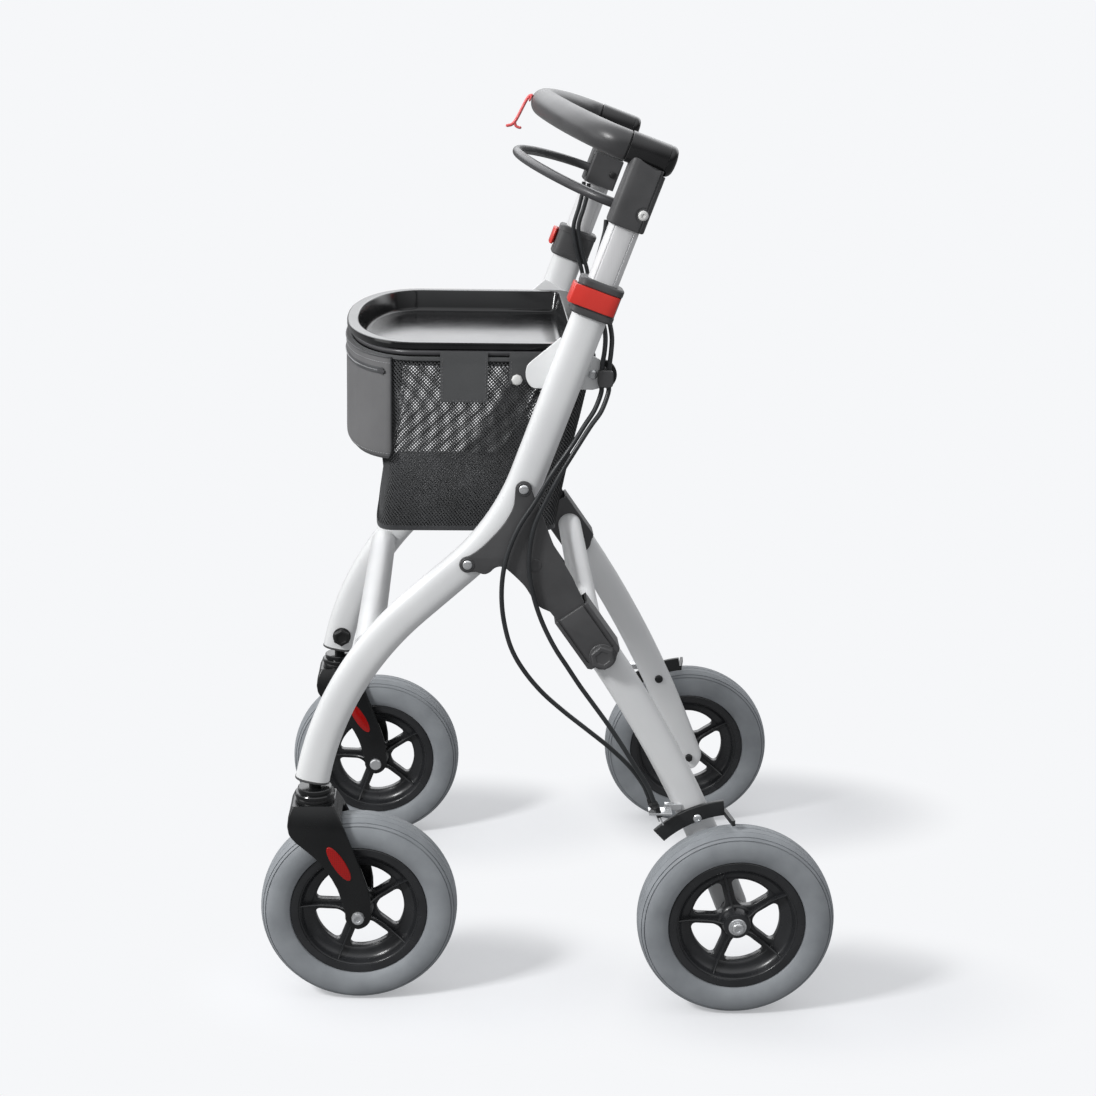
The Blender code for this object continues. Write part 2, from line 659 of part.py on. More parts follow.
def make_hinge_bolts():
    y, z = PIVOT
    washer = [((HOUSING_X[1] + GAP, y, z), 13.0), ((HOUSING_X[1] + 2.0, y, z), 13.0),
              ((HOUSING_X[1] + 2.0, y, z), 11.4), ((HOUSING_X[1] + 7.0, y, z), 11.4)]
    shank = [((176.5, y, z), 7.5), ((183.3, y, z), 7.5), ((183.3, y, z), BOLT_R),
             ((HOUSING_X[1] + GAP, y, z), BOLT_R)]
    add_pair("hinge_bolt", stepped_rod(shank + washer, (1, 0, 0), 12), "dark_grey_plastic", frame)


def make_caster_housings():
    """A plug in each side tube's foot, held by a bolt, with an upright bore for the stem."""
    foot = Vector(TUBE_FOOT)
    way = (foot - Vector(LOWER_BEND)).normalized()
    stations = ((-24.0, 13.9, 9.8), (0.3, 14.6, 9.8), (0.3, 17.4, 12.4), (2.6, 17.4, 12.4))
    rings = []
    for along, depth, width in stations:
        centre = foot + way * along
        rings.append(oval((POST_X, centre.x, centre.y), way, depth, width))
    y, z = HOUSING_BOLT
    face = POST_X - TUBE_HALF_WIDTH - GAP
    head = [((face - 9.0, y, z), 9.5), ((face - 8.0, y, z), 11.5), ((face, y, z), 11.5)]
    shank = [((face - 1.0, y, z), 4.0), ((face + 6.0, y, z), 4.0)]
    bore = rod((POST_X, CASTER_Y, 226.0), (POST_X, CASTER_Y, 262.0), 6.4, 12)
    pair = add_pair("caster_housing", loft(rings), "dark_grey_plastic", frame)
    for housing, (_, side) in zip(pair, SIDES):
        join(housing, mirrored(stepped_rod(shank, (1, 0, 0), 12), side))
        join(housing, mirrored(stepped_rod(head, (1, 0, 0), 6), side))
        cut(housing, mirrored(bore, side))


def make_basket_brackets():
    nose = [(4.5, 680.0), (-24.0, 655.5), (-27.5, 649.5), (-27.5, 641.0), (-21.0, 631.0),
            (36.0, 630.0)]
    lobe = circle_part((44.0, 645.0), 13.0, -95, 95, 6)
    pair = add_pair("basket_bracket", plate(nose + lobe, 182.7, 185.6), "satin_white_paint", frame)
    hole = rod((180.0, 36.0, 645.0), (188.0, 36.0, 645.0), 3.2, 12)
    for bracket, (_, side) in zip(pair, SIDES):
        cut(bracket, mirrored(hole, side))
    clip = block((186.0, CLIP_Y[0] - 4.0, CLIP_Z[0]), (CLIP_X + 5.0, CLIP_Y[1] + 4.0, CLIP_Z[1]))
    for piece, (_, side) in zip(add_pair("cable_clip", clip, "dark_grey_plastic", frame), SIDES):
        for y in CLIP_Y:
            way = rod((CLIP_X, y, CLIP_Z[0] - 2), (CLIP_X, y, CLIP_Z[1] + 2), CABLE_R + 0.7, 10)
            cut(piece, mirrored(way, side))


def leg_line():
    return bent_line([PIVOT, LEG_BEND, (REAR_AXLE_Y, AXLE_Z)], (LEG_BEND_R,))


def make_rear_leg(name, side, body):
    """A gently curved flat tube, round at both ends, with the brake bar's stud on its outside."""
    line = leg_line()
    top, top_way = line[0]
    foot, foot_way = line[-1]
    skin = []
    for rise in (15.6, 12.0, 6.0):
        centre = top - top_way * rise
        width = math.sqrt(LEG_HALF_DEPTH ** 2 - rise ** 2)
        skin.append(oval((POST_X, centre.x, centre.y), top_way, width, LEG_HALF_WIDTH))
    for point, way in line:
        skin.append(oval((POST_X, point.x, point.y), way, LEG_HALF_DEPTH, LEG_HALF_WIDTH))
    for drop in (6.0, 12.0, 15.6):
        centre = foot + foot_way * drop
        width = math.sqrt(LEG_HALF_DEPTH ** 2 - drop ** 2)
        skin.append(oval((POST_X, centre.x, centre.y), foot_way, width, LEG_HALF_WIDTH))
    bore = [oval((POST_X, point.x, point.y), way, LEG_HALF_DEPTH - LEG_WALL,
                 LEG_HALF_WIDTH - LEG_WALL) for point, way in line]
    leg = add_piece(f"rear_leg_{name}", [mirrored(loft(skin), side)], "satin_white_paint", body)
    cut(leg, mirrored(rod((184.0, *PIVOT), (212.0, *PIVOT), BOLT_R + GAP, 12), side))
    axle = (REAR_AXLE_Y, AXLE_Z)
    cut(leg, mirrored(rod((184.0, *axle), (212.0, *axle), AXLE_R + GAP, 10), side))
    cut(leg, mirrored(loft(bore), side))
    y, z = bar_pivot()
    stations = [(200.0, 2.7), (BAR_X[1] + 0.4, 2.7), (BAR_X[1] + 0.4, 5.5), (BAR_X[1] + 2.6, 5.5),
                (BAR_X[1] + 3.4, 4.0)]
    stud = stepped_rod([((x, y, z), r) for x, r in stations], (1, 0, 0), 12)
    join(leg, mirrored(stud, side))


def bar_pivot():
    return (REAR_AXLE_Y + BAR_PIVOT_R * math.cos(BAR_PIVOT_ANGLE),
            AXLE_Z + BAR_PIVOT_R * math.sin(BAR_PIVOT_ANGLE))


def make_brake_bar(name, side):
    """A curved bar on the leg's outer face, with a shoe that stands out over the tyre."""
    pivot = bar_pivot()
    body = Body(f"brake_bar_{name}_axis", (0.0, *pivot))
    centre = (REAR_AXLE_Y, AXLE_Z)
    outline = circle_part(centre, BAR_INNER_R, *BAR_ANGLES, 6)
    outline += circle_part(centre, BAR_OUTER_R, *BAR_ANGLES[::-1], 6)
    bar = add_piece(f"brake_bar_{name}", [mirrored(plate(outline, *BAR_X), side)],
                    "black_gloss_plastic", body)
    sections = []
    for x, turns in ((BAR_X[0] + 1.0, (95.6, 97.6)), (SHOE_REACH, (92.8, 94.6))):
        section = circle_part(centre, SHOE_R[0], *turns, 1)
        section += circle_part(centre, SHOE_R[1], *turns[::-1], 1)
        sections.append([Vector((x, *p)) for p in section])
    join(bar, mirrored(loft(sections), side))
    cut(bar, mirrored(rod((205.0, *pivot), (220.0, *pivot), 3.4, 12), side))


def wheel_window(centre, index):
    """One of the five rounded openings between the spokes, as a cutter across the web."""
    middle = math.radians(105 + 36 + 72 * index)
    reach = ((18.0, 0.15), (21.0, 0.32), (29.0, 0.43), (39.0, 0.49), (44.6, 0.4))
    points = [(r, middle + h) for r, h in reach] + [(r, middle - h) for r, h in reach[::-1]]
    flat = [(centre[1] + r * math.cos(a), centre[2] + r * math.sin(a)) for r, a in points]
    return plate(flat, centre[0] - WEB_HALF - 4, centre[0] + WEB_HALF + 4)


def make_wheel(label, name, side, centre, body):
    half_facet = math.pi / TYRE_SIDES
    tyre_half = [(16.0, 68.9), (TYRE_HALF, 76.0), (18.6, 93.0), (9.0, WHEEL_R)]
    tyre_profile = tyre_half + [(-x, r) for x, r in tyre_half[::-1]]
    add_piece(f"{label}_tyre_{name}", [turned(tyre_profile, centre, TYRE_SIDES, half_facet)],
              "tyre_rubber", body)
    rim_half = [(RIM_HALF, RIM_LIP_R), (RIM_HALF, 61.5), (RIM_HALF - 2.2, RIM_BARREL_R),
                (WEB_HALF, RIM_WEB_R), (WEB_HALF, HUB_R), (HUB_HALF, HUB_R),
                (HUB_HALF, AXLE_R + GAP)]
    rim_profile = rim_half + [(-x, r) for x, r in rim_half[::-1]]
    rim = add_piece(f"{label}_rim_{name}", [turned(rim_profile, centre, RIM_SIDES)],
                    "rim_plastic", body)
    cut(rim, *[wheel_window(centre, index) for index in range(5)])


def make_rear_frame():
    body = Body("fold_axis", (0.0, *PIVOT))
    for name, side in SIDES:
        make_rear_leg(name, side, body)
        make_brake_bar(name, side)
        centre = (REAR_TRACK_HALF * side, REAR_AXLE_Y, AXLE_Z)
        make_wheel("rear", name, side, centre, Body(f"rear_wheel_{name}_axis", centre))
    y, z = REAR_AXLE_Y, AXLE_Z
    hub_in, hub_out = REAR_TRACK_HALF - HUB_HALF, REAR_TRACK_HALF + HUB_HALF
    stations = [(181.0, 6.5), (187.1, 6.5), (187.1, AXLE_R), (208.9, AXLE_R), (208.9, 9.0),
                (hub_in - 0.4, 9.0), (hub_in - 0.4, AXLE_R), (hub_out + 0.4, AXLE_R),
                (hub_out + 0.4, 9.0), (hub_out + 2.0, 9.0), (hub_out + 2.0, 6.5),
                (hub_out + 6.0, 6.5), (hub_out + 7.0, 5.0)]
    axle = stepped_rod([((x, y, z), r) for x, r in stations], (1, 0, 0), 10)
    add_pair("rear_axle", axle, "zinc_steel", body)
    make_cable_adjusters(body)


ADJUSTERS = (((213.4, 100.6, 221.5), (213.4, 107.6, 205.5)),
             ((221.4, 104.6, 221.5), (221.4, 111.0, 205.5)))


def make_cable_adjusters(body):
    """Two barrel adjusters a side, with rubber boots, in a small plate on the leg."""
    bracket = block((208.9, 97.5, 208.0), (226.0, 129.0, 212.0))
    for piece, (_, side) in zip(add_pair("cable_adjuster", bracket, "dark_grey_plastic", body),
                                SIDES):
        for start, end in ADJUSTERS:
            top, foot = Vector(start), Vector(end)
            way = foot - top
            stations = [(top, 2.8), (top + way * 0.45, 3.6), (top + way * 0.5, 3.2), (foot, 3.2)]
            join(piece, mirrored(stepped_rod(stations, way, 10), side))


def reflector_outline():
    """The oval reflector low on each arm, raised a little from its face."""
    slant = math.radians(-59.0)
    outline = []
    for i in range(12):
        a = 2 * math.pi * i / 12
        p, q = 21.0 * math.cos(a), 6.2 * math.sin(a)
        outline.append((REFLECTOR[0] + p * math.cos(slant) - q * math.sin(slant),
                        REFLECTOR[1] + p * math.sin(slant) + q * math.cos(slant)))
    return outline


def make_caster(name, side):
    """A two-arm fork on an upright stem, with its wheel trailing behind the swivel."""
    x = FRONT_TRACK_HALF
    swivel = Body(f"caster_{name}_axis", (x * side, CASTER_Y, AXLE_Z))
    axle = (FRONT_AXLE_Y, AXLE_Z)
    front_edge = [(-249.0, 216.0), (-257.0, 209.0), (-258.5, 196.0), (-254.0, 184.0),
                  (-230.0, 162.5), (-215.0, 140.0), (-206.5, 121.0)]
    foot = circle_part(axle, 13.0, 165, 375, 7)
    rear_edge = [(-176.5, 116.0), (-181.5, 138.0), (-194.0, 172.0), (-206.0, 204.0),
                 (-214.0, 216.0)]
    outline = front_edge + foot + rear_edge
    fork = add_piece(f"caster_fork_{name}",
                     [mirrored(plate(outline, x + 25.5, x + 31.0), side)],
                     "black_gloss_plastic", swivel)
    join(fork, mirrored(plate(outline, x - 31.0, x - 25.5), side))
    crown = [(-214.0, 216.0), (-249.0, 216.0), (-257.0, 209.0), (-257.5, 202.5), (-206.0, 202.5)]
    join(fork, mirrored(plate(crown, x - 31.0, x + 31.0), side))
    stations = [(212.0, 20.0), (224.0, 20.0), (224.0, 17.0), (229.0, 17.0), (229.0, 6.0),
                (258.0, 6.0)]
    head = stepped_rod([((x, CASTER_Y, z), r) for z, r in stations], (0, 0, 1), 16)
    join(fork, mirrored(head, side))
    lens = reflector_outline()
    join(fork, mirrored(plate(lens, x + 29.0, x + 32.2), side))
    join(fork, mirrored(plate(lens, x - 32.2, x - 29.0), side))
    cut(fork, mirrored(rod((x - 35, *axle), (x + 35, *axle), AXLE_R + GAP, 12), side))
    stations = [(x - 36.0, 7.0), (x - 31.4, 7.0), (x - 31.4, AXLE_R), (x - 25.1, AXLE_R),
                (x - 25.1, 7.5), (x - HUB_HALF - 0.4, 7.5), (x - HUB_HALF - 0.4, AXLE_R),
                (x + HUB_HALF + 0.4, AXLE_R), (x + HUB_HALF + 0.4, 7.5), (x + 25.1, 7.5),
                (x + 25.1, AXLE_R), (x + 31.4, AXLE_R), (x + 31.4, 7.5), (x + 34.0, 7.5),
                (x + 36.0, 5.5)]
    bolt = stepped_rod([((sx, *axle), r) for sx, r in stations], (1, 0, 0), 10)
    add_piece(f"front_axle_{name}", [mirrored(bolt, side)], "zinc_steel", swivel)
    centre = (x * side, *axle)
    make_wheel("front", name, side, centre, Body(f"front_wheel_{name}_axis", centre))


def plan_outline(half, front, rear, power=FRONT_POWER, inset=0.0, front_steps=12,
                 corner_steps=3):
    """A plan of (x, y): a broad curved front, straight sides and small rear corners."""
    half, front, rear = half - inset, front + inset, rear - inset
    corner = max(REAR_CORNER_R - inset, 4.0)
    depth = FRONT_CENTRE_Y - front
    points = []
    for i in range(front_steps + 1):
        a = math.pi * i / front_steps
        px = math.copysign(abs(math.cos(a)) ** (2 / power), math.cos(a))
        py = abs(math.sin(a)) ** (2 / power)
        points.append((half * px, FRONT_CENTRE_Y - depth * py))
    for cx, start in ((-half + corner, 180), (half - corner, 90)):
        for i in range(corner_steps + 1):
            a = math.radians(start - 90 * i / corner_steps)
            points.append((cx + corner * math.cos(a), rear - corner + corner * math.sin(a)))
    return points


def level(outline, z):
    return [Vector((x, y, z)) for x, y in outline]


def basket_size(z):
    """The basket's half width, front, rear and squareness at a height, between its levels."""
    levels = BASKET_LEVELS
    for low, high in zip(levels, levels[1:]):
        if z <= high[0]:
            share = (z - low[0]) / (high[0] - low[0])
            return [a + (b - a) * share for a, b in zip(low[1:], high[1:])]
    return list(levels[-1][1:])


def make_basket():
    body = Body("basket_axis", (0.0, 0.0, BASKET_LEVELS[0][0]))
    skin = [level(plan_outline(*sizes), z) for z, *sizes in BASKET_LEVELS]
    lining = [level(plan_outline(*basket_size(z), inset=BASKET_WALL), z)
              for z in (657.0, 600.0, 560.0, 535.0, 508.0, 485.0)]
    add_piece("basket", [loft(skin + lining)], "basket_mesh_fabric", body)

    rim_plan = plan_outline(*BASKET_LEVELS[-1][1:], inset=3.0)
    rim = add_piece("basket_rim", [tube_along(level(rim_plan, RIM_Z + 0.3), RIM_R, 6, closed=True)],
                    "dark_grey_plastic", body)
    tab = block((169.0, -42.0, 640.0), (172.0, 6.0, 660.0))
    join(rim, *both(tab))
    neck = block((164.0, -30.0, 658.6), (171.0, -6.0, 662.6))
    join(rim, *both(neck))
    stud = stepped_rod([((x, *STUD), r) for x, r in
                        ((170.5, 3.0), (178.5, 3.0), (178.5, 5.6), (182.0, 5.6), (183.0, 4.4))],
                       (1, 0, 0), 12)
    join(rim, *both(stud))
    make_pouch(body)


def make_pouch(body):
    """The zipped pouch round the front, flush with the tray's edge and round below."""
    def place(share, half, front, power, z):
        depth = FRONT_CENTRE_Y - front
        first = math.asin(((FRONT_CENTRE_Y - POUCH_END_Y) / depth) ** (power / 2))
        turn = first + (math.pi - 2 * first) * share
        px = math.copysign(abs(math.cos(turn)) ** (2 / power), math.cos(turn))
        return Vector((half * px, FRONT_CENTRE_Y - depth * abs(math.sin(turn)) ** (2 / power), z))

    rings = []
    steps = 14
    for i in range(steps + 1):
        share = i / steps
        foot = POUCH_FOOT + (12.0 if i in (0, steps) else 0.0)
        section = []
        for z in (foot, 585.0, 600.0, 630.0, 654.0):
            half, front, _, power = basket_size(z)
            section.append(place(share, half + 0.8, front - 0.8, power, z))
        for half, front, power, z in ((171.0, -206.5, 2.3, 656.0), (171.0, -206.5, 2.5, 615.0),
                                      (171.0, -206.5, 2.7, foot + 6.0),
                                      (170.2, -205.0, 2.7, foot + 2.0),
                                      (167.5, -200.0, 2.8, foot)):
            section.append(place(share, half, front, power, z))
        rings.append(section)
    add_piece("basket_pouch", [loft(rings)], "pouch_fabric", body)


def make_tray():
    body = Body("tray_axis", (0.0, 0.0, TRAY_FLOOR))
    edge = (TRAY_HALF, TRAY_FRONT, TRAY_REAR)
    ledge = RIM_Z + RIM_R + 2 * GAP
    stations = ((17.0, TRAY_FLOOR - 2.5), (13.2, TRAY_FLOOR + 1.0), (11.2, ledge), (0.6, ledge),
                (0.0, ledge + 1.2), (0.0, 669.4), (2.0, TRAY_TOP), (10.5, TRAY_TOP), (12.6, 669.0),
                (15.5, TRAY_FLOOR + 4.0), (20.5, TRAY_FLOOR))
    rings = [level(plan_outline(*edge, inset=inset), z) for inset, z in stations]
    add_piece("tray", [loft(rings)], "black_gloss_plastic", body)


def smooth_route(points, spacing):
    """Even points read from a smooth curve through the route's own points."""
    knots = [Vector(p) for p in points]
    dense = []
    padded = [knots[0] * 2 - knots[1]] + knots + [knots[-1] * 2 - knots[-2]]
    for a, b, c, d in zip(padded, padded[1:], padded[2:], padded[3:]):
        for k in range(20):
            s = k / 20
            dense.append(0.5 * (2 * b + (c - a) * s + (2 * a - 5 * b + 4 * c - d) * s ** 2
                                + (3 * b - a - 3 * c + d) * s ** 3))
    dense.append(knots[-1])
    lengths = [0.0]
    for a, b in zip(dense, dense[1:]):
        lengths.append(lengths[-1] + (b - a).length)
    count = max(3, round(lengths[-1] / spacing))
    picked = []
    index = 0
    for i in range(count + 1):
        target = lengths[-1] * i / count
        while index < len(dense) - 2 and lengths[index + 1] < target:
            index += 1
        span = lengths[index + 1] - lengths[index]
        share = 0.0 if span == 0 else (target - lengths[index]) / span
        picked.append(dense[index].lerp(dense[index + 1], min(share, 1.0)))
    return picked


# From the bracket's cheek each cable crosses inside the collar, then passes behind the side
# tube to the clip, over the gusset's face and down in front of the leg to its adjuster.
ROUTES = {
    "front": ((177.0, 45.5, 789.8), (177.0, 44.5, 779.0), (176.8, 40.5, 762.0),
              (176.8, 35.0, 741.0), (176.8, 37.0, 722.0), (176.9, 41.0, 706.0),
              (178.2, 45.0, 693.0), (183.0, 47.0, 681.0), (188.0, 46.2, 668.0),
              (191.0, 44.2, 656.0), (191.0, 44.0, 648.0), (191.0, 44.0, 637.0),
              (191.4, 43.6, 628.0), (196.0, 37.6, 613.0), (204.5, 28.0, 600.0),
              (213.5, 15.0, 581.0), (217.8, -3.0, 555.0), (218.2, -17.0, 530.0),
              (218.2, -33.0, 504.0), (218.2, -43.0, 479.0), (218.2, -48.0, 456.0),
              (218.2, -49.0, 431.0), (218.2, -46.0, 406.0), (218.2, -39.0, 381.0),
              (218.2, -27.0, 359.0), (218.2, -9.0, 336.5), (217.8, 13.0, 316.0),
              (217.0, 37.0, 296.0), (216.0, 60.0, 276.5), (214.6, 80.0, 256.0),
              (213.4, 93.6, 237.0), (213.4, 100.4, 222.0)),
    "rear": ((177.0, 50.8, 787.9), (177.0, 49.8, 777.0), (176.8, 46.0, 761.0),
             (176.8, 40.6, 741.0), (176.8, 43.0, 722.0), (176.9, 47.0, 706.0),
             (178.2, 51.0, 693.0), (183.0, 53.2, 680.0), (188.0, 52.4, 667.0),
             (191.0, 51.0, 656.0), (191.0, 50.9, 648.0), (191.0, 50.9, 637.0),
             (191.6, 50.3, 628.0), (198.5, 43.6, 612.0), (207.5, 33.6, 600.0),
             (215.5, 20.6, 581.0), (218.2, 5.0, 555.0), (218.2, -8.0, 529.0),
             (218.2, -18.0, 506.0), (218.2, -22.5, 483.0), (218.2, -23.0, 460.0),
             (218.2, -19.0, 437.0), (218.6, -13.0, 417.0), (219.4, -5.5, 399.0),
             (220.4, 4.0, 381.0), (221.0, 15.0, 364.0), (221.4, 28.0, 344.0),
             (221.4, 41.5, 325.0), (221.4, 57.0, 303.0), (221.4, 72.0, 280.0),
             (221.4, 86.0, 257.0), (221.4, 97.6, 238.0), (221.4, 104.4, 222.0)),
}


def make_cable(name, route, side, body):
    """A round sheathed cable, a beveled curve with closed ends."""
    curve = bpy.data.curves.new(name, "CURVE")
    curve.dimensions = "3D"
    curve.bevel_depth = CABLE_R * MM
    curve.bevel_resolution = 2
    curve.use_fill_caps = True
    points = smooth_route(route, 6.0 * CABLE_R)
    spline = curve.splines.new("POLY")
    spline.points.add(len(points) - 1)
    for slot, point in zip(spline.points, points):
        place = Vector((point.x * side, point.y, point.z)) * MM - body.origin
        slot.co = (*place, 1.0)
    curve.materials.append(materials["cable_sheath"])
    piece = bpy.data.objects.new(name, curve)
    piece.parent = body.empty
    bpy.context.collection.objects.link(piece)


clear_scene()
materials = make_finishes()
frame = Body("frame")
for side_name, sign in SIDES:
    make_side_tube(side_name, sign)
    make_collar(side_name, sign)
    make_lever(side_name, sign)
    make_gusset(side_name, sign)
    make_hinge_housing(side_name, sign)
    make_caster(side_name, sign)
make_cross_tubes()
make_hinge_bolts()
make_caster_housings()
make_basket_brackets()
handle = Body("height_axis", post_point(0.0, 0.0, 0.0))
make_handle(handle)
make_brake_loop()
make_rear_frame()
make_basket()
make_tray()
for place, route in ROUTES.items():
    for side_name, sign in SIDES:
        make_cable(f"brake_cable_{side_name}_{place}", route, sign, frame)
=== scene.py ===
"""The look of the indoor rollator: its visible pieces, finishes, floor, lamps and camera.

Lengths are millimetres in the named sizes and lists, and metres in the meshes.
The user's left is at +X, the front faces -Y, Z is up, and the floor is at Z = 0.
"""

import math

import bmesh
import bpy
from mathutils import Matrix, Vector


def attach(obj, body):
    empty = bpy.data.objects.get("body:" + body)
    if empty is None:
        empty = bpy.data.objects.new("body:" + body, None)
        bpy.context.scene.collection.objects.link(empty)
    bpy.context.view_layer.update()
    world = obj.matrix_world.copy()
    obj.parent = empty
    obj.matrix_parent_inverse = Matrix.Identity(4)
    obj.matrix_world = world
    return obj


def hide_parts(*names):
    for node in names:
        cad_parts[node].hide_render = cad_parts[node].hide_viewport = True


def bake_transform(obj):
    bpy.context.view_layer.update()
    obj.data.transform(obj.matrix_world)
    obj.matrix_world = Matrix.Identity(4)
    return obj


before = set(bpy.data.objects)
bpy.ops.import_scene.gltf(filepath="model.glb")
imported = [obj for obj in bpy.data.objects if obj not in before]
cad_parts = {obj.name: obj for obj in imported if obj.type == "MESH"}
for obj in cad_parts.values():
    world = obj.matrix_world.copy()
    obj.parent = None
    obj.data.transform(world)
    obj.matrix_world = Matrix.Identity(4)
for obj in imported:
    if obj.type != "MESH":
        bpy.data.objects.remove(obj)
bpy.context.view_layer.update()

MM = 0.001
SIDES = (("left", 1), ("right", -1))

# Wheels
AXLE_Z = 100.0 * math.cos(math.pi / 24)
TYRE_R = AXLE_Z
REAR_AXLE_Y = 189.5
FRONT_AXLE_Y = -189.5
REAR_TRACK = 232.5
FRONT_TRACK = 198.0
SWIVEL_Y = -232.5
WHEEL_STEPS = 96
HUB_HALF = 19.0
SPOKE_TURN = 105
AXLE_HOLE_R = 4.3

# Leaning posts
POST_X = 198.0
POST_Y = 36.5
POST_Z = 719.0
POST_LEAN = math.radians(20.0)
LEVER_PIN = (212.2, 15.5)

# Side tubes, legs and the hinge
TUBE_CORNERS = ((-44.5, 496.0), (-213.5, 345.0), (-234.5, 238.0))
TUBE_BENDS = (230.0, 320.0)
HOUSING_BOLT = (-229.0, 254.0)
PIVOT = (49.5, 373.0)
LEG_BEND = (123.6, 263.2)
LEG_DEPTH = 16.3
LEG_WIDTH = 10.5
LEG_BEND_R = 1200.0
HOUSING_LEAN = math.radians(35.0)
HOUSING_ROOM = (186.7, 214.0)
RIVETS = ((-29.0, 539.0), (-82.0, 464.0))
BRACKET_SCREW = (36.0, 645.0)
BRACKET_LOBE = (44.0, 645.0)
BAR_PIVOT = (REAR_AXLE_Y + 109.0 * math.cos(math.radians(111.5)),
             AXLE_Z + 109.0 * math.sin(math.radians(111.5)))

# Handle and brake loop: each bow's bend, its front and how far its curve is pulled
HANDLE_T = 141.0
HANDLE_BOW = (-27.0, -97.0, (42.0, 34.0))
SLEEVE_V = (-23.5, 14.0)
LOOP_T = 88.0
LOOP_V = 10.6
LOOP_HALF = 177.5
LOOP_BOW = (-18.0, -106.0, (38.0, 78.0))
LOOP_DROP = 1.6
SCREW_WAY = ((166.0, 3.0), (218.0, 3.0))

# Basket: height, half width, front, rear and squareness
BASKET_LEVELS = ((482.0, 156.0, -174.0, 5.0, 8.0), (508.0, 158.0, -171.0, 9.0, 7.0),
                 (535.0, 160.5, -167.0, 14.0, 6.0), (560.0, 162.5, -170.0, 19.0, 5.5),
                 (600.0, 166.0, -186.0, 28.0, 3.2), (657.0, 168.0, -202.0, 40.0, 2.2))
FRONT_CENTRE_Y = -130.0
BASKET_TOP = 657.0
BASKET_STEPS = 240
NET_FOOT = 484.5
NET_TOP = 655.0
NET_COLUMNS = 560
NET_STEPS = 92
NET_THREAD_R = 0.62
RIM_Z = 660.6
RIM_WIRE_R = 3.0
BASKET_STUD = (-36.0, 638.0)
CLOTH_THICKNESS = 1.2

# Pouch: its foot, top and ends, and its face's height, half width, front and squareness
POUCH_FOOT = 556.5
POUCH_TOP = 656.0
POUCH_END_Y = -156.2
POUCH_LENGTH = 520.0
POUCH_FACE = ((556.5, 167.5, -200.0, 2.8), (558.5, 170.2, -205.0, 2.7),
              (562.5, 171.0, -206.5, 2.7), (615.0, 171.0, -206.5, 2.5),
              (656.0, 171.0, -206.5, 2.3))
ZIP_Z = 641.6
PIPING_Z = (568.5, 655.2)

# Brake cables: the sheath's radius, and the height of the clip where the two lengths meet
SHEATH_R = 2.3
CLIP_Z = 642.5

# Light levels: the room, what gloss sees of it, the floor and the lamps
ROOM = 0.63
ZENITH = 1.4
HORIZON = 0.14
PANEL = 2.2
FLOOR_LIFT = 0.29
FLOOR_BOUNCE = 0.3
KEY_POWER = 46.0
FRONT_POWER = 14.0

# Shadows: where each stands from its wheel, its narrow and long ways, and where it fades
SHADOW_SHIFT = (-20.0, 80.0)
SHADOW_SHAPE = (1.5, 0.85, 1.0)
SHADOW_FADE = (0.1, 0.25)

# Camera: the photograph's width and focal length in pixels, and the place and angles of its lens
PHOTO_WIDTH = 1096
FOCAL_LENGTH = 1928.8
SENSOR_MM = 36.0
CAMERA_PLACE = (1.9837, -0.087, 1.0018)
CAMERA_BEARING = math.radians(-2.65)
CAMERA_FALL = math.radians(16.364)
CAMERA_ROLL = math.radians(1.043)


# Finishes

def linear(code):
    """A linear colour from an sRGB hex code."""
    channels = [int(code[i:i + 2], 16) / 255 for i in (0, 2, 4)]
    return (*[c / 12.92 if c <= 0.04045 else ((c + 0.055) / 1.055) ** 2.4 for c in channels], 1.0)


def add_node(tree, kind, links=None, **settings):
    """A node with its settings, and its inputs either linked or set."""
    made = tree.nodes.new(kind)
    for name, value in settings.items():
        setattr(made, name, value)
    for key, value in (links or {}).items():
        if isinstance(value, bpy.types.NodeSocket):
            tree.links.new(value, made.inputs[key])
        else:
            made.inputs[key].default_value = value
    return made


def start_finish(name, roughness, metallic=0.0, **uniform):
    """A material with its shader's uniform values set on the shader's own sockets."""
    material = bpy.data.materials.new(name)
    material.use_nodes = True
    tree = material.node_tree
    shader = tree.nodes["Principled BSDF"]
    shader.inputs["Roughness"].default_value = roughness
    shader.inputs["Metallic"].default_value = metallic
    for key, value in uniform.items():
        shader.inputs[key.replace("_", " ")].default_value = value
    return material, tree, shader


def shades(tree, shader, height, codes, spots=(0.3, 0.7)):
    """Colours from dark to light that follow a pattern."""
    ramp = add_node(tree, "ShaderNodeValToRGB", {0: height})
    for stop, spot, code in zip(ramp.color_ramp.elements, spots, codes):
        stop.position = spot
        stop.color = linear(code)
    tree.links.new(ramp.outputs["Color"], shader.inputs["Base Color"])


def uneven_gloss(tree, shader, pattern, roughness, spread):
    """Roughness that follows a pattern, by a spread to each side."""
    gloss = add_node(tree, "ShaderNodeMapRange", {"Value": pattern, "To Min": roughness - spread,
                                                  "To Max": roughness + spread})
    tree.links.new(gloss.outputs[0], shader.inputs["Roughness"])


def relief(tree, shader, height, depth, strength=0.5):
    """Bump of a real depth in millimetres."""
    bump = add_node(tree, "ShaderNodeBump",
                    {"Height": height, "Distance": depth * MM, "Strength": strength})
    tree.links.new(bump.outputs[0], shader.inputs["Normal"])


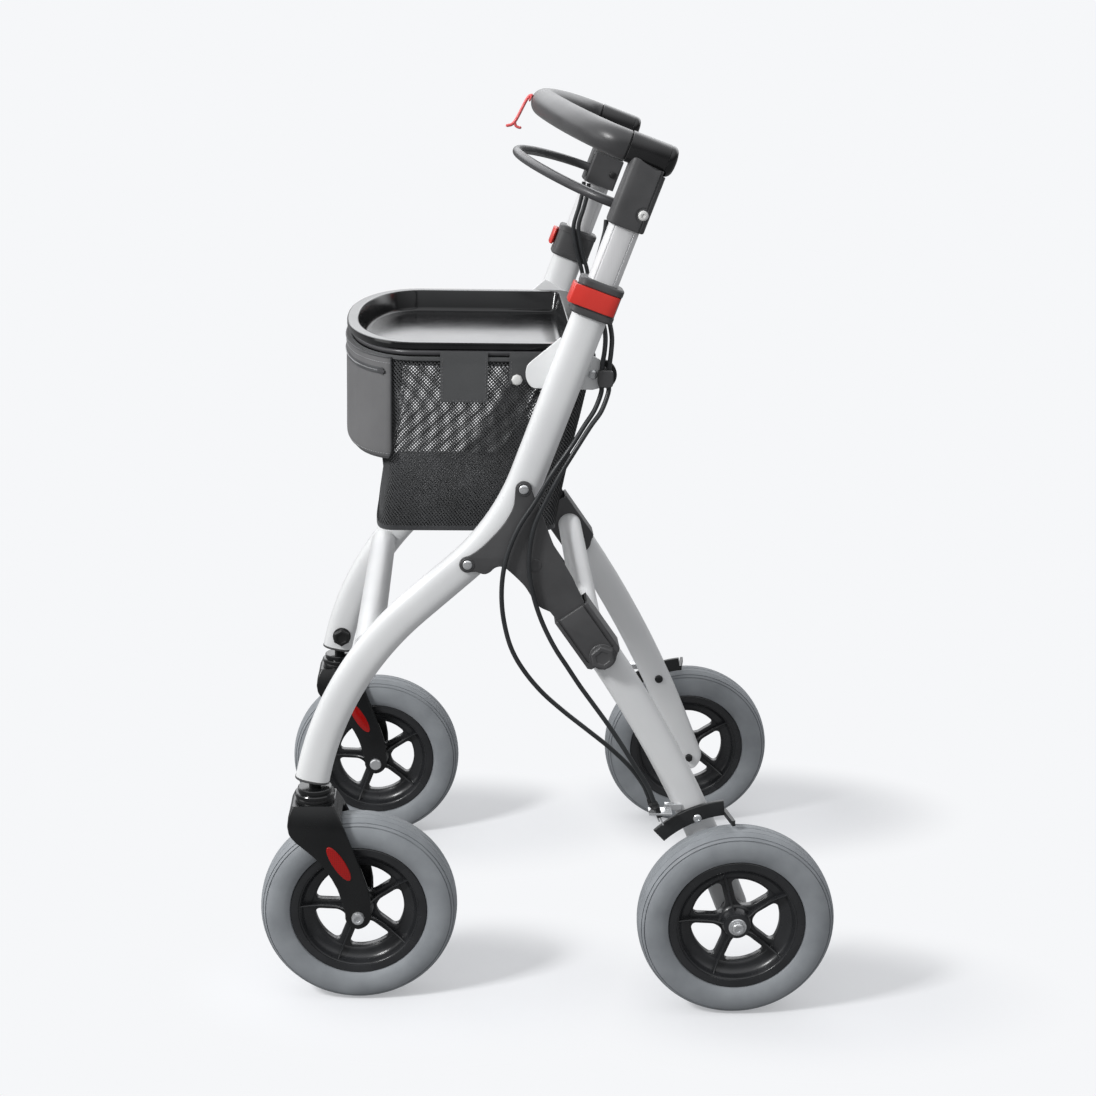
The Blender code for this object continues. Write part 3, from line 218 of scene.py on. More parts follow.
def moulded(name, codes, roughness, grain, depth, drift=35.0, spread=0.08, **uniform):
    """A skin with a grain in millimetres, slow colour drift and uneven gloss."""
    material, tree, shader = start_finish(name, roughness, **uniform)
    place = add_node(tree, "ShaderNodeTexCoord").outputs["Object"]
    slow = add_node(tree, "ShaderNodeTexNoise",
                    {"Vector": place, "Scale": 1000 / drift, "Detail": 3.0})
    shades(tree, shader, slow.outputs["Fac"], codes)
    uneven_gloss(tree, shader, slow.outputs["Fac"], roughness, spread)
    fine = add_node(tree, "ShaderNodeTexNoise",
                    {"Vector": place, "Scale": 1000 / grain, "Detail": 2.0})
    relief(tree, shader, fine.outputs["Fac"], depth)
    return material


def lined(name, codes, roughness, stretch, metallic, turn=(0.0, 0.0, 0.0), spread=0.1,
          strength=0.3):
    """A metal drawn or turned so that fine lines run along one way."""
    material, tree, shader = start_finish(name, roughness, metallic=metallic)
    place = add_node(tree, "ShaderNodeTexCoord").outputs["Object"]
    along = add_node(tree, "ShaderNodeMapping",
                     {"Vector": place, "Rotation": turn, "Scale": stretch})
    lines = add_node(tree, "ShaderNodeTexNoise",
                     {"Vector": along.outputs[0], "Scale": 1000.0, "Detail": 3.0})
    shades(tree, shader, lines.outputs["Fac"], codes)
    uneven_gloss(tree, shader, lines.outputs["Fac"], roughness, spread)
    relief(tree, shader, lines.outputs["Fac"], 0.03, strength)
    return material


def waves(tree, source, pitch):
    """The product of cosine waves in two directions across a flat place in metres."""
    parts = add_node(tree, "ShaderNodeSeparateXYZ", {0: source})
    rows = []
    for axis in (0, 1):
        turn = add_node(tree, "ShaderNodeMath",
                        {0: parts.outputs[axis], 1: 2 * math.pi / (pitch * MM)},
                        operation="MULTIPLY")
        rows.append(add_node(tree, "ShaderNodeMath", {0: turn.outputs[0]}, operation="COSINE"))
    both = add_node(tree, "ShaderNodeMath", {0: rows[0].outputs[0], 1: rows[1].outputs[0]},
                    operation="MULTIPLY")
    level = add_node(tree, "ShaderNodeMapRange", {"Value": both.outputs[0], "From Min": -1.0})
    return level.outputs[0]


def woven(name, codes, pitch, depth, roughness=0.85):
    """Polyester cloth whose threads follow the piece's own UV map, laid out in metres."""
    material, tree, shader = start_finish(name, roughness)
    place = add_node(tree, "ShaderNodeTexCoord")
    weave = waves(tree, place.outputs["UV"], pitch)
    slow = add_node(tree, "ShaderNodeTexNoise",
                    {"Vector": place.outputs["Object"], "Scale": 28.0, "Detail": 4.0})
    blend = add_node(tree, "ShaderNodeMath", {0: slow.outputs["Fac"], 1: 0.45},
                     operation="MULTIPLY")
    total = add_node(tree, "ShaderNodeMath", {0: weave, 1: 0.55, 2: blend.outputs[0]},
                     operation="MULTIPLY_ADD")
    shades(tree, shader, total.outputs[0], codes, (0.2, 0.8))
    relief(tree, shader, weave, depth, 0.7)
    return material


def make_finishes():
    """Every finish, each named for the real material and how its surface was made."""
    made = {}
    # Powder coat levels to a faint orange peel about 1.5 mm across, satin under soft light.
    made["paint"] = moulded("satin_white_powder_coat", ("dfe0e1", "ebecec"), 0.36, 1.5, 0.02,
                            drift=120.0, spread=0.04)
    # Glass-filled nylon from an eroded mould: even dark grey, dull, with a fine spark grain.
    made["grey_nylon"] = moulded("eroded_dark_grey_nylon", ("434344", "4d4d4e"), 0.5, 0.9, 0.05)
    # ABS from a polished mould: near black, with a sharp highlight.
    made["black_abs"] = moulded("polished_black_abs", ("0b0c0d", "151617"), 0.16, 2.5, 0.008,
                                spread=0.04)
    # The handle's sleeves are the same dark nylon, polished so that a streak runs along them.
    made["sleeve"] = moulded("polished_dark_nylon", ("1b1b1c", "252526"), 0.26, 1.5, 0.01)
    # The caster arms' broad faces are nylon with a soft sheen.
    made["fork_nylon"] = moulded("satin_black_nylon", ("0d0e0f", "161718"), 0.26, 0.9, 0.02)
    # The brake bar has the same nylon's plain moulded skin, duller than the arms.
    made["bar_nylon"] = moulded("plain_black_nylon", ("1d1e1f", "262728"), 0.45, 0.9, 0.03)
    # Thermoplastic rubber skin: dark grey with a broad soft highlight and a leathery grain.
    made["grip"] = moulded("moulded_grip_rubber", ("363637", "414142"), 0.38, 1.1, 0.06,
                           Sheen_Weight=0.1)
    # The brake loop is steel wire dipped in a smooth plastisol.
    made["dip"] = moulded("dark_plastisol_dip", ("39393b", "434345"), 0.36, 1.6, 0.02)
    # Cast polyurethane tyre: blue-grey, dull, faintly cloudy.
    made["tyre"] = moulded("cast_grey_polyurethane", ("888c90", "989ca0"), 0.62, 1.2, 0.05,
                           drift=30.0)
    # Rims are nylon with a light mould grain and a satin gloss on the curved faces.
    made["rim"] = moulded("satin_charcoal_nylon", ("222325", "2e2f31"), 0.27, 0.8, 0.02)
    # Zinc plate on turned screws: bright grey with fine turning marks.
    made["zinc"] = lined("bright_zinc_plated_steel", ("c6c8ca", "e2e3e4"), 0.22, (1.0, 1.0, 1.0),
                         0.7)
    # Aluminium tube keeps faint lines from drawing along its length.
    made["aluminium"] = lined("drawn_anodised_aluminium", ("dfdfe0", "e3e3e4"), 0.36,
                              (1.0, 1.0, 0.01), 0.15, (POST_LEAN, 0.0, 0.0), spread=0.03,
                              strength=0.04)
    # Acetal lever: coral red, slightly waxy.
    made["red_lever"] = moulded("moulded_red_acetal", ("d8342b", "e63f35"), 0.36, 1.0, 0.02,
                                Subsurface_Weight=0.05)
    # Vinyl-dipped wire: lighter red, rounded and smooth.
    made["red_wire"] = moulded("red_vinyl_dip", ("e25c5e", "ec6c6d"), 0.4, 1.5, 0.02)
    # PVC sheath drawn over the brake cables.
    made["sheath"] = moulded("extruded_pvc_sheath", ("26282a", "303234"), 0.42, 1.2, 0.02)
    # Soft moulded caps and boots.
    made["boot"] = moulded("black_moulded_rubber", ("0f1011", "1a1b1c"), 0.55, 1.0, 0.04)
    # White nylon heads of the basket studs and screws.
    made["white_nylon"] = moulded("white_moulded_nylon", ("d2d2d0", "dededc"), 0.35, 1.2, 0.02)
    # Netting thread is spun polyester, drawn thicker than its 0.4 mm so that it shows.
    made["net"] = moulded("spun_polyester_net", ("353637", "494a4c"), 0.8, 0.7, 0.1,
                          Sheen_Weight=0.2)
    # Plain 600-denier weave, drawn at 1.3 mm where real threads are 0.5 mm, so that it shows.
    made["cloth"] = woven("plain_woven_polyester", ("5a5a5b", "6f6f70"), 1.3, 0.12)
    made["dark_cloth"] = woven("dark_woven_polyester", ("454647", "575859"), 1.3, 0.12)
    # Binding tape and strap tabs: a tight, slightly shiny weave.
    made["tape"] = moulded("woven_binding_tape", ("313234", "414244"), 0.6, 0.9, 0.12,
                           Sheen_Weight=0.15)
    # Zip teeth in moulded resin, catching light on each tooth.
    made["zip"] = moulded("moulded_zip_resin", ("8d8e90", "a9aaac"), 0.35, 1.0, 0.03)
    made["reflector"] = prismatic_reflector()
    return made


def prismatic_reflector():
    """Red acrylic, polished outside, with corner-cube prisms about 2 mm across behind."""
    material, tree, shader = start_finish("prismatic_red_acrylic", 0.14, Coat_Weight=0.25,
                                          Coat_Roughness=0.05)
    place = add_node(tree, "ShaderNodeTexCoord").outputs["Object"]
    cells = add_node(tree, "ShaderNodeTexVoronoi",
                     {"Vector": place, "Scale": 500.0, "Randomness": 0.1})
    shades(tree, shader, cells.outputs["Distance"], ("8f0300", "ad0703"), (0.1, 0.6))
    relief(tree, shader, cells.outputs["Distance"], 0.15, 0.4)
    return material


# Shapes: each is a list of points in millimetres and a list of faces

def skin(rings, closed=False):
    """A surface over rings of equal count, capped at both ends or joined end to start."""
    count = len(rings[0])
    points = [p for ring in rings for p in ring]
    faces = []
    for i in range(len(rings) if closed else len(rings) - 1):
        a, b = i * count, ((i + 1) % len(rings)) * count
        for j in range(count):
            k = (j + 1) % count
            faces.append((a + j, a + k, b + k, b + j))
    if not closed:
        faces.append(tuple(range(count)))
        faces.append(tuple(range(len(points) - count, len(points))))
    return points, faces


def ring(centre, axis, radius, sides, phase=0.0):
    """Points on a circle square to an axis."""
    axis = Vector(axis).normalized()
    across = Vector((1.0, 0.0, 0.0)) if abs(axis.x) < 0.9 else Vector((0.0, 0.0, -1.0))
    first = (across - axis * across.dot(axis)).normalized()
    second = axis.cross(first)
    turns = [phase + 2 * math.pi * i / sides for i in range(sides)]
    return [Vector(centre) + (first * math.cos(a) + second * math.sin(a)) * radius for a in turns]


def turned(stations, origin, axis, sides=32, closed=False, phase=0.0):
    """A turned shape from (distance, radius) stations along an axis from an origin."""
    way = Vector(axis).normalized()
    rings = [ring(Vector(origin) + way * d, way, r, sides, phase) for d, r in stations]
    return skin(rings, closed)


def superellipse(half_a, half_b, sides, power=2.6):
    """Flat points round an oval that grows squarer with its power."""
    points = []
    for i in range(sides):
        turn = 2 * math.pi * (i + 0.5) / sides
        a, b = math.cos(turn), math.sin(turn)
        points.append((half_a * math.copysign(abs(a) ** (2 / power), a),
                       half_b * math.copysign(abs(b) ** (2 / power), b)))
    return points


def oval(centre, along, half_depth, half_width, sides=48):
    """An oval ring square to a (y, z) direction: depth in the side plane, width along X."""
    x, y, z = centre
    size = math.hypot(*along)
    ny, nz = along[1] / size, -along[0] / size
    return [Vector((x + w, y + d * ny, z + d * nz))
            for d, w in superellipse(half_depth, half_width, sides)]


def sideways(stations, spot, side, sides=32, phase=0.0):
    """A turned shape along X through a (y, z) spot, made for the left and moved to a side."""
    return mirrored(turned(stations, (0, *spot), (1, 0, 0), sides, phase=phase), side)


def both_ways(half):
    """A wheel's closed profile from the half of it on one side of the middle."""
    return half + [(-d, r) for d, r in half[::-1]]


def slab(outline, x0, x1):
    """A solid of a (y, z) outline between two places along X."""
    return skin([[Vector((x, y, z)) for y, z in outline] for x in (x0, x1)])


def bent_line(corners, radii):
    """Points and directions along straight runs whose inner corners are arcs."""
    step = math.radians(1.5)
    line = [(Vector(corners[0]), (Vector(corners[1]) - Vector(corners[0])).normalized())]
    for i in range(1, len(corners) - 1):
        before = (Vector(corners[i]) - Vector(corners[i - 1])).normalized()
        after = (Vector(corners[i + 1]) - Vector(corners[i])).normalized()
        turn = before.angle_signed(after)
        radius = radii[i - 1]
        start = Vector(corners[i]) - before * radius * math.tan(abs(turn) / 2)
        normal = Vector((before.y, -before.x)) * math.copysign(1.0, turn)
        centre = start + normal * radius
        count = max(2, math.ceil(abs(turn) / step))
        for k in range(count + 1):
            spin = Matrix.Rotation(-turn * k / count, 2)
            line.append((centre - spin @ normal * radius, spin @ before))
    line.append((Vector(corners[-1]), (Vector(corners[-1]) - Vector(corners[-2])).normalized()))
    return line


def post_point(x, t, v):
    """A place by a post: t up along it from the collar's middle, v square to it, rearward."""
    lean_s, lean_c = math.sin(POST_LEAN), math.cos(POST_LEAN)
    return Vector((x, POST_Y + t * lean_s + v * lean_c, POST_Z + t * lean_c - v * lean_s))


POST_BACK = post_point(0.0, 0.0, 1.0) - post_point(0.0, 0.0, 0.0)
POST_UP = post_point(0.0, 1.0, 0.0) - post_point(0.0, 0.0, 0.0)
LOOP_PIVOT = tuple(post_point(0.0, LOOP_T, LOOP_V).yz)


def post_block(outline, heights):
    """A solid of an (x, v) outline at heights along the post."""
    return skin([[post_point(x, t, v) for x, v in outline] for t in heights])


def post_rings(half_depth, half_width, heights, sides=64):
    """Oval rings round a post at heights along it."""
    return [[post_point(POST_X + w, t, d) for d, w in superellipse(half_depth, half_width, sides)]
            for t in heights]


def housing_point(down, back):
    """A (y, z) place in the hinge housing: down the leg from the pivot, back square to it."""
    lean_s, lean_c = math.sin(HOUSING_LEAN), math.cos(HOUSING_LEAN)
    return (PIVOT[0] + down * lean_s + back * lean_c, PIVOT[1] - down * lean_c + back * lean_s)


def in_housing(*places):
    """Places in the hinge housing as (y, z) points."""
    return [housing_point(*place) for place in places]


def arc(centre, radius, start, end, steps):
    """Flat points on an arc in degrees, counted from the first axis towards the second."""
    turns = [math.radians(start + (end - start) * i / steps) for i in range(steps + 1)]
    return [(centre[0] + radius * math.cos(a), centre[1] + radius * math.sin(a)) for a in turns]


def smooth(points, spacing, closed=False):
    """Even points read from a smooth curve through the given points."""
    knots = [Vector(p) for p in points]
    if closed:
        padded = [knots[-1]] + knots + knots[:2]
    else:
        padded = [knots[0] * 2 - knots[1]] + knots + [knots[-1] * 2 - knots[-2]]
    dense = []
    for a, b, c, d in zip(padded, padded[1:], padded[2:], padded[3:]):
        for k in range(16):
            s = k / 16
            dense.append(0.5 * (2 * b + (c - a) * s + (2 * a - 5 * b + 4 * c - d) * s ** 2
                                + (3 * b - a - 3 * c + d) * s ** 3))
    dense.append(knots[0] if closed else knots[-1])
    count = max(3, round(running(dense)[-1] / spacing))
    return even_points(dense, count + 1)[:count + (0 if closed else 1)]


def running(line):
    """The length along a line at each of its points."""
    lengths = [0.0]
    for a, b in zip(line, line[1:]):
        lengths.append(lengths[-1] + (b - a).length)
    return lengths


def even_points(line, count):
    """Points at even distances along a line, from its first point to its last."""
    line = [Vector(p) for p in line]
    lengths = running(line)
    picked, index = [], 0
    for i in range(count):
        target = lengths[-1] * i / (count - 1)
        while index < len(line) - 2 and lengths[index + 1] < target:
            index += 1
        span = lengths[index + 1] - lengths[index]
        share = 0.0 if span == 0 else (target - lengths[index]) / span
        picked.append(line[index].lerp(line[index + 1], min(share, 1.0)))
    return picked


def tube(path, radii, sides):
    """A round rod on a path with a radius at each point, its rings square to the path."""
    path = [Vector(p) for p in path]
    ways = [(path[min(i + 1, len(path) - 1)] - path[max(i - 1, 0)]).normalized()
            for i in range(len(path))]
    up = ways[0].orthogonal().normalized()
    rings = []
    for point, way, radius in zip(path, ways, radii):
        up = (up - way * up.dot(way)).normalized()
        side = way.cross(up)
        rings.append([point + (up * math.cos(2 * math.pi * k / sides)
                               + side * math.sin(2 * math.pi * k / sides)) * radius
                      for k in range(sides)])
    return skin(rings)


def rounded_ends(path, radius, depth):
    """Radii along a path that round off its two ends."""
    lengths = running([Vector(p) for p in path])
    radii = []
    for s in lengths:
        near = min(s, lengths[-1] - s, depth) / depth
        radii.append(radius - depth + depth * math.sqrt(max(0.0, 1 - (1 - near) ** 2)))
    return radii


def bowed_path(half, tail_v, bow, t):
    """A bow in the plane square to the posts: straight tails, then a curve round the front."""
    steps = 40
    bend_v, front_v, pulls = bow
    knots = [Vector(knot) for knot in ((half, bend_v), (half, bend_v - pulls[0]),
                                       (pulls[1], front_v), (0.0, front_v))]
    left = [Vector((half, tail_v))]
    for i in range(steps + 1):
        s = i / steps
        shares = ((1 - s) ** 3, 3 * (1 - s) ** 2 * s, 3 * (1 - s) * s ** 2, s ** 3)
        left.append(sum((knot * k for knot, k in zip(knots, shares)), Vector((0.0, 0.0))))
    flat = left + [Vector((-p.x, p.y)) for p in left[-2::-1]]
    return [post_point(p.x, t, p.y) for p in flat]


def mirrored(shape, side):
    """A shape made for the left, moved to a side."""
    points, faces = shape
    return [Vector((p[0] * side, p[1], p[2])) for p in points], faces


def mesh_of(shapes):
    """One mesh of closed shapes, each with its faces pointing out."""
    shells = []
    for points, faces in shapes:
        shell = bpy.data.meshes.new("shell")
        shell.from_pydata([Vector(p) * MM for p in points], [], faces)
        face_outwards(shell)
        shells.append(shell)
    return joined_mesh(shells)


def face_outwards(mesh, weld=False):
    """Turn a closed mesh's faces outwards, after welding points that fall together."""
    work = bmesh.new()
    work.from_mesh(mesh)
    if weld:
        bmesh.ops.remove_doubles(work, verts=work.verts, dist=1e-6)
    bmesh.ops.recalc_face_normals(work, faces=work.faces)
    work.to_mesh(mesh)
    work.free()


def rounded_plate(outlines, x0, x1, edge, side):
    """A plate of (y, z) outlines, the first its edge and the rest holes, with rounded edges."""
    curve = bpy.data.curves.new("outline", "CURVE")
    curve.dimensions = "2D"
    curve.fill_mode = "BOTH"
    curve.extrude = ((x1 - x0) / 2 - edge) * MM
    curve.bevel_depth = edge * MM
    curve.bevel_resolution = 2
    curve.offset = -edge * MM
    for outline in outlines:
        spline = curve.splines.new("POLY")
        spline.points.add(len(outline) - 1)
        spline.use_cyclic_u = True
        for slot, (y, z) in zip(spline.points, outline):
            slot.co = (y * MM, z * MM, 0.0, 1.0)
    holder = bpy.data.objects.new("outline", curve)
    mesh = flat_copy(holder)
    bpy.data.objects.remove(holder)
    # A flat outline lies in X and Y: turn it to face along X and move it to its place.
    turn = Matrix(((0, 0, 1, 0), (1, 0, 0, 0), (0, 1, 0, 0), (0, 0, 0, 1)))
    mesh.transform(Matrix.Translation(((x0 + x1) / 2 * MM * side, 0.0, 0.0)) @ turn)
    face_outwards(mesh, weld=True)
    return mesh


def flat_copy(holder):
    """The evaluated mesh of an object, with its modifiers carried out."""
    bpy.context.collection.objects.link(holder)
    bpy.context.view_layer.update()
    graph = bpy.context.evaluated_depsgraph_get()
    mesh = bpy.data.meshes.new_from_object(holder.evaluated_get(graph))
    bpy.context.collection.objects.unlink(holder)
    return mesh


def joined_mesh(meshes):
    """Several meshes as one, side by side."""
    whole = bmesh.new()
    for mesh in meshes:
        whole.from_mesh(mesh)
    mesh = bpy.data.meshes.new("joined")
    whole.to_mesh(mesh)
    whole.free()
    return mesh


def carry_out(piece):
    """Give a piece the mesh that its modifiers make."""
    mesh = flat_copy(piece)
    piece.modifiers.clear()
    piece.data = mesh


def add_piece(name, base, look, body, stands_for=(), joined=(), cut=(), edge=0.0,
              sharp=35.0):
    """A finished piece: its tools joined and cut, its edges rounded, riding on a body."""
    piece = bpy.data.objects.new(name, base if isinstance(base, bpy.types.Mesh) else mesh_of(base))
    tools = []
    for operation, shapes in (("UNION", joined), ("DIFFERENCE", cut)):
        for shape in shapes:
            tool_mesh = shape if isinstance(shape, bpy.types.Mesh) else mesh_of([shape])
            tools.append(bpy.data.objects.new("tool", tool_mesh))
            step = piece.modifiers.new(operation, "BOOLEAN")
            step.operation = operation
            step.solver = "MANIFOLD"
            step.object = tools[-1]
    if edge:
        bevel = piece.modifiers.new("edge", "BEVEL")
        bevel.width = edge * MM
        bevel.segments = 2
        bevel.limit_method = "ANGLE"
        bevel.angle_limit = math.radians(40)
    if piece.modifiers:
        carry_out(piece)
    for tool in tools:
        bpy.data.objects.remove(tool)
    place_piece(piece, look, body, stands_for, sharp)


def place_piece(piece, look, body, stands_for=(), sharp=45.0):
    """Give a piece its finish, and let it ride on a body in place of any CAD nodes."""
    mesh = piece.data
    mesh.name = piece.name
    mesh.materials.clear()
    mesh.materials.append(finish[look])
    mesh.shade_smooth()
    mesh.set_sharp_from_angle(angle=math.radians(sharp))
    bpy.context.collection.objects.link(piece)
    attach(piece, body)
    if stands_for:
        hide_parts(*stands_for)


# Geometry Nodes trees

def start_tree(name, inputs):
    """A geometry tree with named inputs, its entry and its exit."""
    tree = bpy.data.node_groups.new(name, "GeometryNodeTree")
    face = tree.interface
    face.new_socket("Geometry", in_out="INPUT", socket_type="NodeSocketGeometry")
    for label, kind in inputs:
        face.new_socket(label, in_out="INPUT", socket_type=kind)
    face.new_socket("Geometry", in_out="OUTPUT", socket_type="NodeSocketGeometry")
    return tree, add_node(tree, "NodeGroupInput"), add_node(tree, "NodeGroupOutput")


def end_tree(tree, geometry, material, way_out):
    """Make the instances real and give them their material at the tree's end."""
    real = add_node(tree, "GeometryNodeRealizeInstances", {0: geometry})
    painted = add_node(tree, "GeometryNodeSetMaterial", {0: real.outputs[0], "Material": material})
    tree.links.new(painted.outputs[0], way_out.inputs[0])
    return tree


def thread_tree():
    """Round thread of a radius and a number of sides along every line of a mesh."""
    tree, way_in, way_out = start_tree("threads", (("Radius", "NodeSocketFloat"),
                                                   ("Sides", "NodeSocketInt"),
                                                   ("Material", "NodeSocketMaterial")))
    lines = add_node(tree, "GeometryNodeMeshToCurve", {0: way_in.outputs["Geometry"]})
    section = add_node(tree, "GeometryNodeCurvePrimitiveCircle",
                       {"Resolution": way_in.outputs["Sides"], "Radius": way_in.outputs["Radius"]})
    rods = add_node(tree, "GeometryNodeCurveToMesh",
                    {0: lines.outputs[0], "Profile Curve": section.outputs[0], "Fill Caps": True})
    return end_tree(tree, rods.outputs[0], way_in.outputs["Material"], way_out)


def stitch_tree():
    """Rounded stitches of a length and thickness, spaced evenly along every line of a mesh."""
    tree, way_in, way_out = start_tree("stitches", (("Spacing", "NodeSocketFloat"),
                                                    ("Length", "NodeSocketFloat"),
                                                    ("Radius", "NodeSocketFloat"),
                                                    ("Material", "NodeSocketMaterial")))
    lines = add_node(tree, "GeometryNodeMeshToCurve", {0: way_in.outputs["Geometry"]})
    spots = add_node(tree, "GeometryNodeCurveToPoints",
                     {0: lines.outputs[0], "Length": way_in.outputs["Spacing"]}, mode="LENGTH")
    bead = add_node(tree, "GeometryNodeMeshUVSphere",
                    {"Segments": 6, "Rings": 4, "Radius": way_in.outputs["Radius"]})
    half = add_node(tree, "ShaderNodeMath",
                    {0: way_in.outputs["Length"], 1: way_in.outputs["Radius"]}, operation="DIVIDE")
    longer = add_node(tree, "ShaderNodeMath", {0: half.outputs[0], 1: 0.5}, operation="MULTIPLY")
    size = add_node(tree, "ShaderNodeCombineXYZ", {"X": 1.0, "Y": 1.0, "Z": longer.outputs[0]})
    placed = add_node(tree, "GeometryNodeInstanceOnPoints",
                      {"Points": spots.outputs["Points"], "Instance": bead.outputs[0],
                       "Rotation": spots.outputs["Rotation"], "Scale": size.outputs[0]})
    return end_tree(tree, placed.outputs[0], way_in.outputs["Material"], way_out)


def grown_mesh(lines, tree, values):
    """A plain mesh grown by a tree on open or closed lines of points in millimetres."""
    points, edges = [], []
    for line in lines:
        start = len(points)
        points += [Vector(p) * MM for p in line]
        edges += [(start + i, start + i + 1) for i in range(len(line) - 1)]
    wire = bpy.data.meshes.new("lines")
    wire.from_pydata(points, edges, [])
    holder = bpy.data.objects.new("lines", wire)
    step = holder.modifiers.new("grow", "NODES")
    step.node_group = tree
    sockets = {item.name: item.identifier for item in tree.interface.items_tree
               if item.in_out == "INPUT"}
    for label, value in values.items():
        step[sockets[label]] = value
    mesh = flat_copy(holder)
    bpy.data.objects.remove(holder)
    return mesh


def add_threads(name, lines, radius, sides, look, body, stands_for=()):
    """A piece of round threads, cables or wires that follow the given lines."""
    mesh = grown_mesh(lines, threads, {"Radius": radius * MM, "Sides": sides,
                                       "Material": finish[look]})
    add_piece(name, mesh, look, body, stands_for, sharp=60.0)


def add_stitches(name, lines, look, body, pitch=3.2, length=2.2, radius=0.3):
    """A piece of sewn stitches, or of a zip's turns, that follow the given lines."""
    mesh = grown_mesh(lines, stitches, {"Spacing": pitch * MM, "Length": length * MM,
                                        "Radius": radius * MM, "Material": finish[look]})
    add_piece(name, mesh, look, body, sharp=60.0)


# Frame

def make_side_tube(name, side):
    """The bent oval tube from the collar down to the front foot."""
    top = post_point(POST_X, 10.0, 0.0)
    line = bent_line([(top.y, top.z), *TUBE_CORNERS], TUBE_BENDS)
    outer = [oval((POST_X, p.x, p.y), way, 17.0, 12.0) for p, way in line]
    inner = [oval((POST_X, p.x, p.y), way, 15.4, 10.4) for p, way in line]
    add_piece(f"side_tube_{name}", [mirrored(skin(outer + inner[::-1], True), side)], "paint",
              "frame", [f"main_tube_{name}"])


def make_cross_tubes():
    """The two round tubes that join the sides."""
    for name, (y, z), radius, reach in (("front_cross_tube", (-179.0, 371.0), 14.0, 185.5),
                                        ("rear_cross_tube", (38.0, 394.0), 13.0, 183.4)):
        stations = [(-reach, radius), (reach, radius), (reach, radius - 1.5),
                    (-reach, radius - 1.5)]
        add_piece(f"{name}_smooth", [turned(stations, (0.0, y, z), (1, 0, 0), 64, True)],
                  "paint", "frame", [name])


def make_collar(name, side):
    """The clamp collar, with a bevelled ring above and below the lever's band."""
    room = post_rings(17.3, 12.3, (-17.0, 10.3)) + post_rings(15.2, 10.1, (10.3, 17.0))
    trims = ((17.0, 1.6), (16.4, 0.7), (15.4, 0.0), (10.6, 0.0), (10.2, 0.5), (-10.2, 0.5),
             (-10.6, 0.0), (-15.4, 0.0), (-16.4, 0.7), (-17.0, 1.6))
    outer = [[post_point(POST_X + w, t, d)
              for d, w in superellipse(21.5 - trim, 17.0 - trim, 64, 5.0)] for t, trim in trims]
    recess = post_block([(211.6, -24.0), (217.0, -24.0), (217.0, 24.0), (211.6, 24.0)], (-9.4, 9.9))
    hinge = post_point(LEVER_PIN[0], 0.0, LEVER_PIN[1])
    pocket = turned([(-9.4, 4.5), (9.9, 4.5)], hinge, POST_UP, 24)
    pin = turned([(-12.0, 1.8), (12.5, 1.8)], hinge, POST_UP, 20)
    add_piece(f"clamp_collar_{name}", [mirrored(skin(outer + room, True), side)],
              "grey_nylon", "frame", [f"height_collar_{name}"],
              joined=[mirrored(pin, side)], cut=[mirrored(recess, side), mirrored(pocket, side)])


def make_lever(name, side):
    """The red clamp lever: a band along the collar's outside and a lip round its front."""
    outline = [(218.0, -24.0), (217.7, -8.0), (217.4, 10.0), (217.0, 13.5)]
    outline += arc(LEVER_PIN, 4.0, 15, 191, 16)
    outline += [(212.1, 11.5), (212.9, -20.5), (212.9, -22.3), (196.0, -22.3), (194.4, -24.2),
                (196.0, -26.4), (214.8, -26.4), (217.2, -25.6)]
    add_piece(f"clamp_lever_{name}", [mirrored(post_block(outline, (-9.0, 9.5)), side)],
              "red_lever", f"height_lever_{name}", [f"height_lever_{name}"], edge=0.7)


def gusset_outline():
    """The gusset from its lower rivet round to its upper one, drawn out fine."""
    edge = arc(RIVETS[1], 8.0, 100, 290, 14)
    edge += smooth([(-74.0, 457.0), (-66.0, 454.5), (-60.5, 456.5), (-56.0, 460.6),
                    (-50.0, 462.2), (-43.0, 458.6), (-28.0, 444.0), (-20.0, 432.0),
                    (-13.0, 422.4), (-2.0, 416.8)], 2.0)
    edge += in_housing((-54.0, -16.4), (5.0, -10.0), (5.0, 10.0), (-54.0, 15.6))
    edge += smooth([(19.5, 451.0), (8.5, 470.0), (0.5, 484.0), (-8.0, 506.0), (-15.0, 524.0),
                    (-19.0, 532.0)], 2.5)
    edge += arc(RIVETS[0], 8.0, -10, 172, 14)
    edge += smooth([(-37.4, 532.0), (-39.0, 521.0), (-47.0, 505.5), (-60.0, 490.0),
                    (-72.0, 478.5), (-80.0, 473.0)], 2.5)
    return edge


def make_gusset(name, side):
    """The gusset plate, with a raised rim round each rivet and a boss, and its rivets."""
    plate = rounded_plate([gusset_outline()], 210.4, 213.4, 0.9, side)
    rims, heads = [], []
    rim = [(213.0, 6.6), (213.8, 6.6), (214.1, 6.2), (214.1, 5.4), (213.2, 5.2)]
    dome = [(206.5, 2.4), (213.1, 2.4), (213.1, 4.9), (214.0, 4.8), (214.7, 4.2), (215.2, 3.2),
            (215.5, 1.9), (215.6, 0.6)]
    for spot in RIVETS:
        rims.append(sideways(rim, spot, side, 40))
        heads.append(sideways(dome, spot, side))
    boss = [(213.0, 6.4), (213.7, 6.4), (214.1, 5.9), (214.2, 4.4), (214.0, 3.6), (213.9, 0.5)]
    rims.append(sideways(boss, (-17.5, 464.0), side))
    add_piece(f"gusset_{name}", plate, "grey_nylon", "frame", [f"gusset_plate_{name}"],
              joined=rims, sharp=30.0)
    add_piece(f"gusset_rivets_{name}", heads, "zinc", "frame")


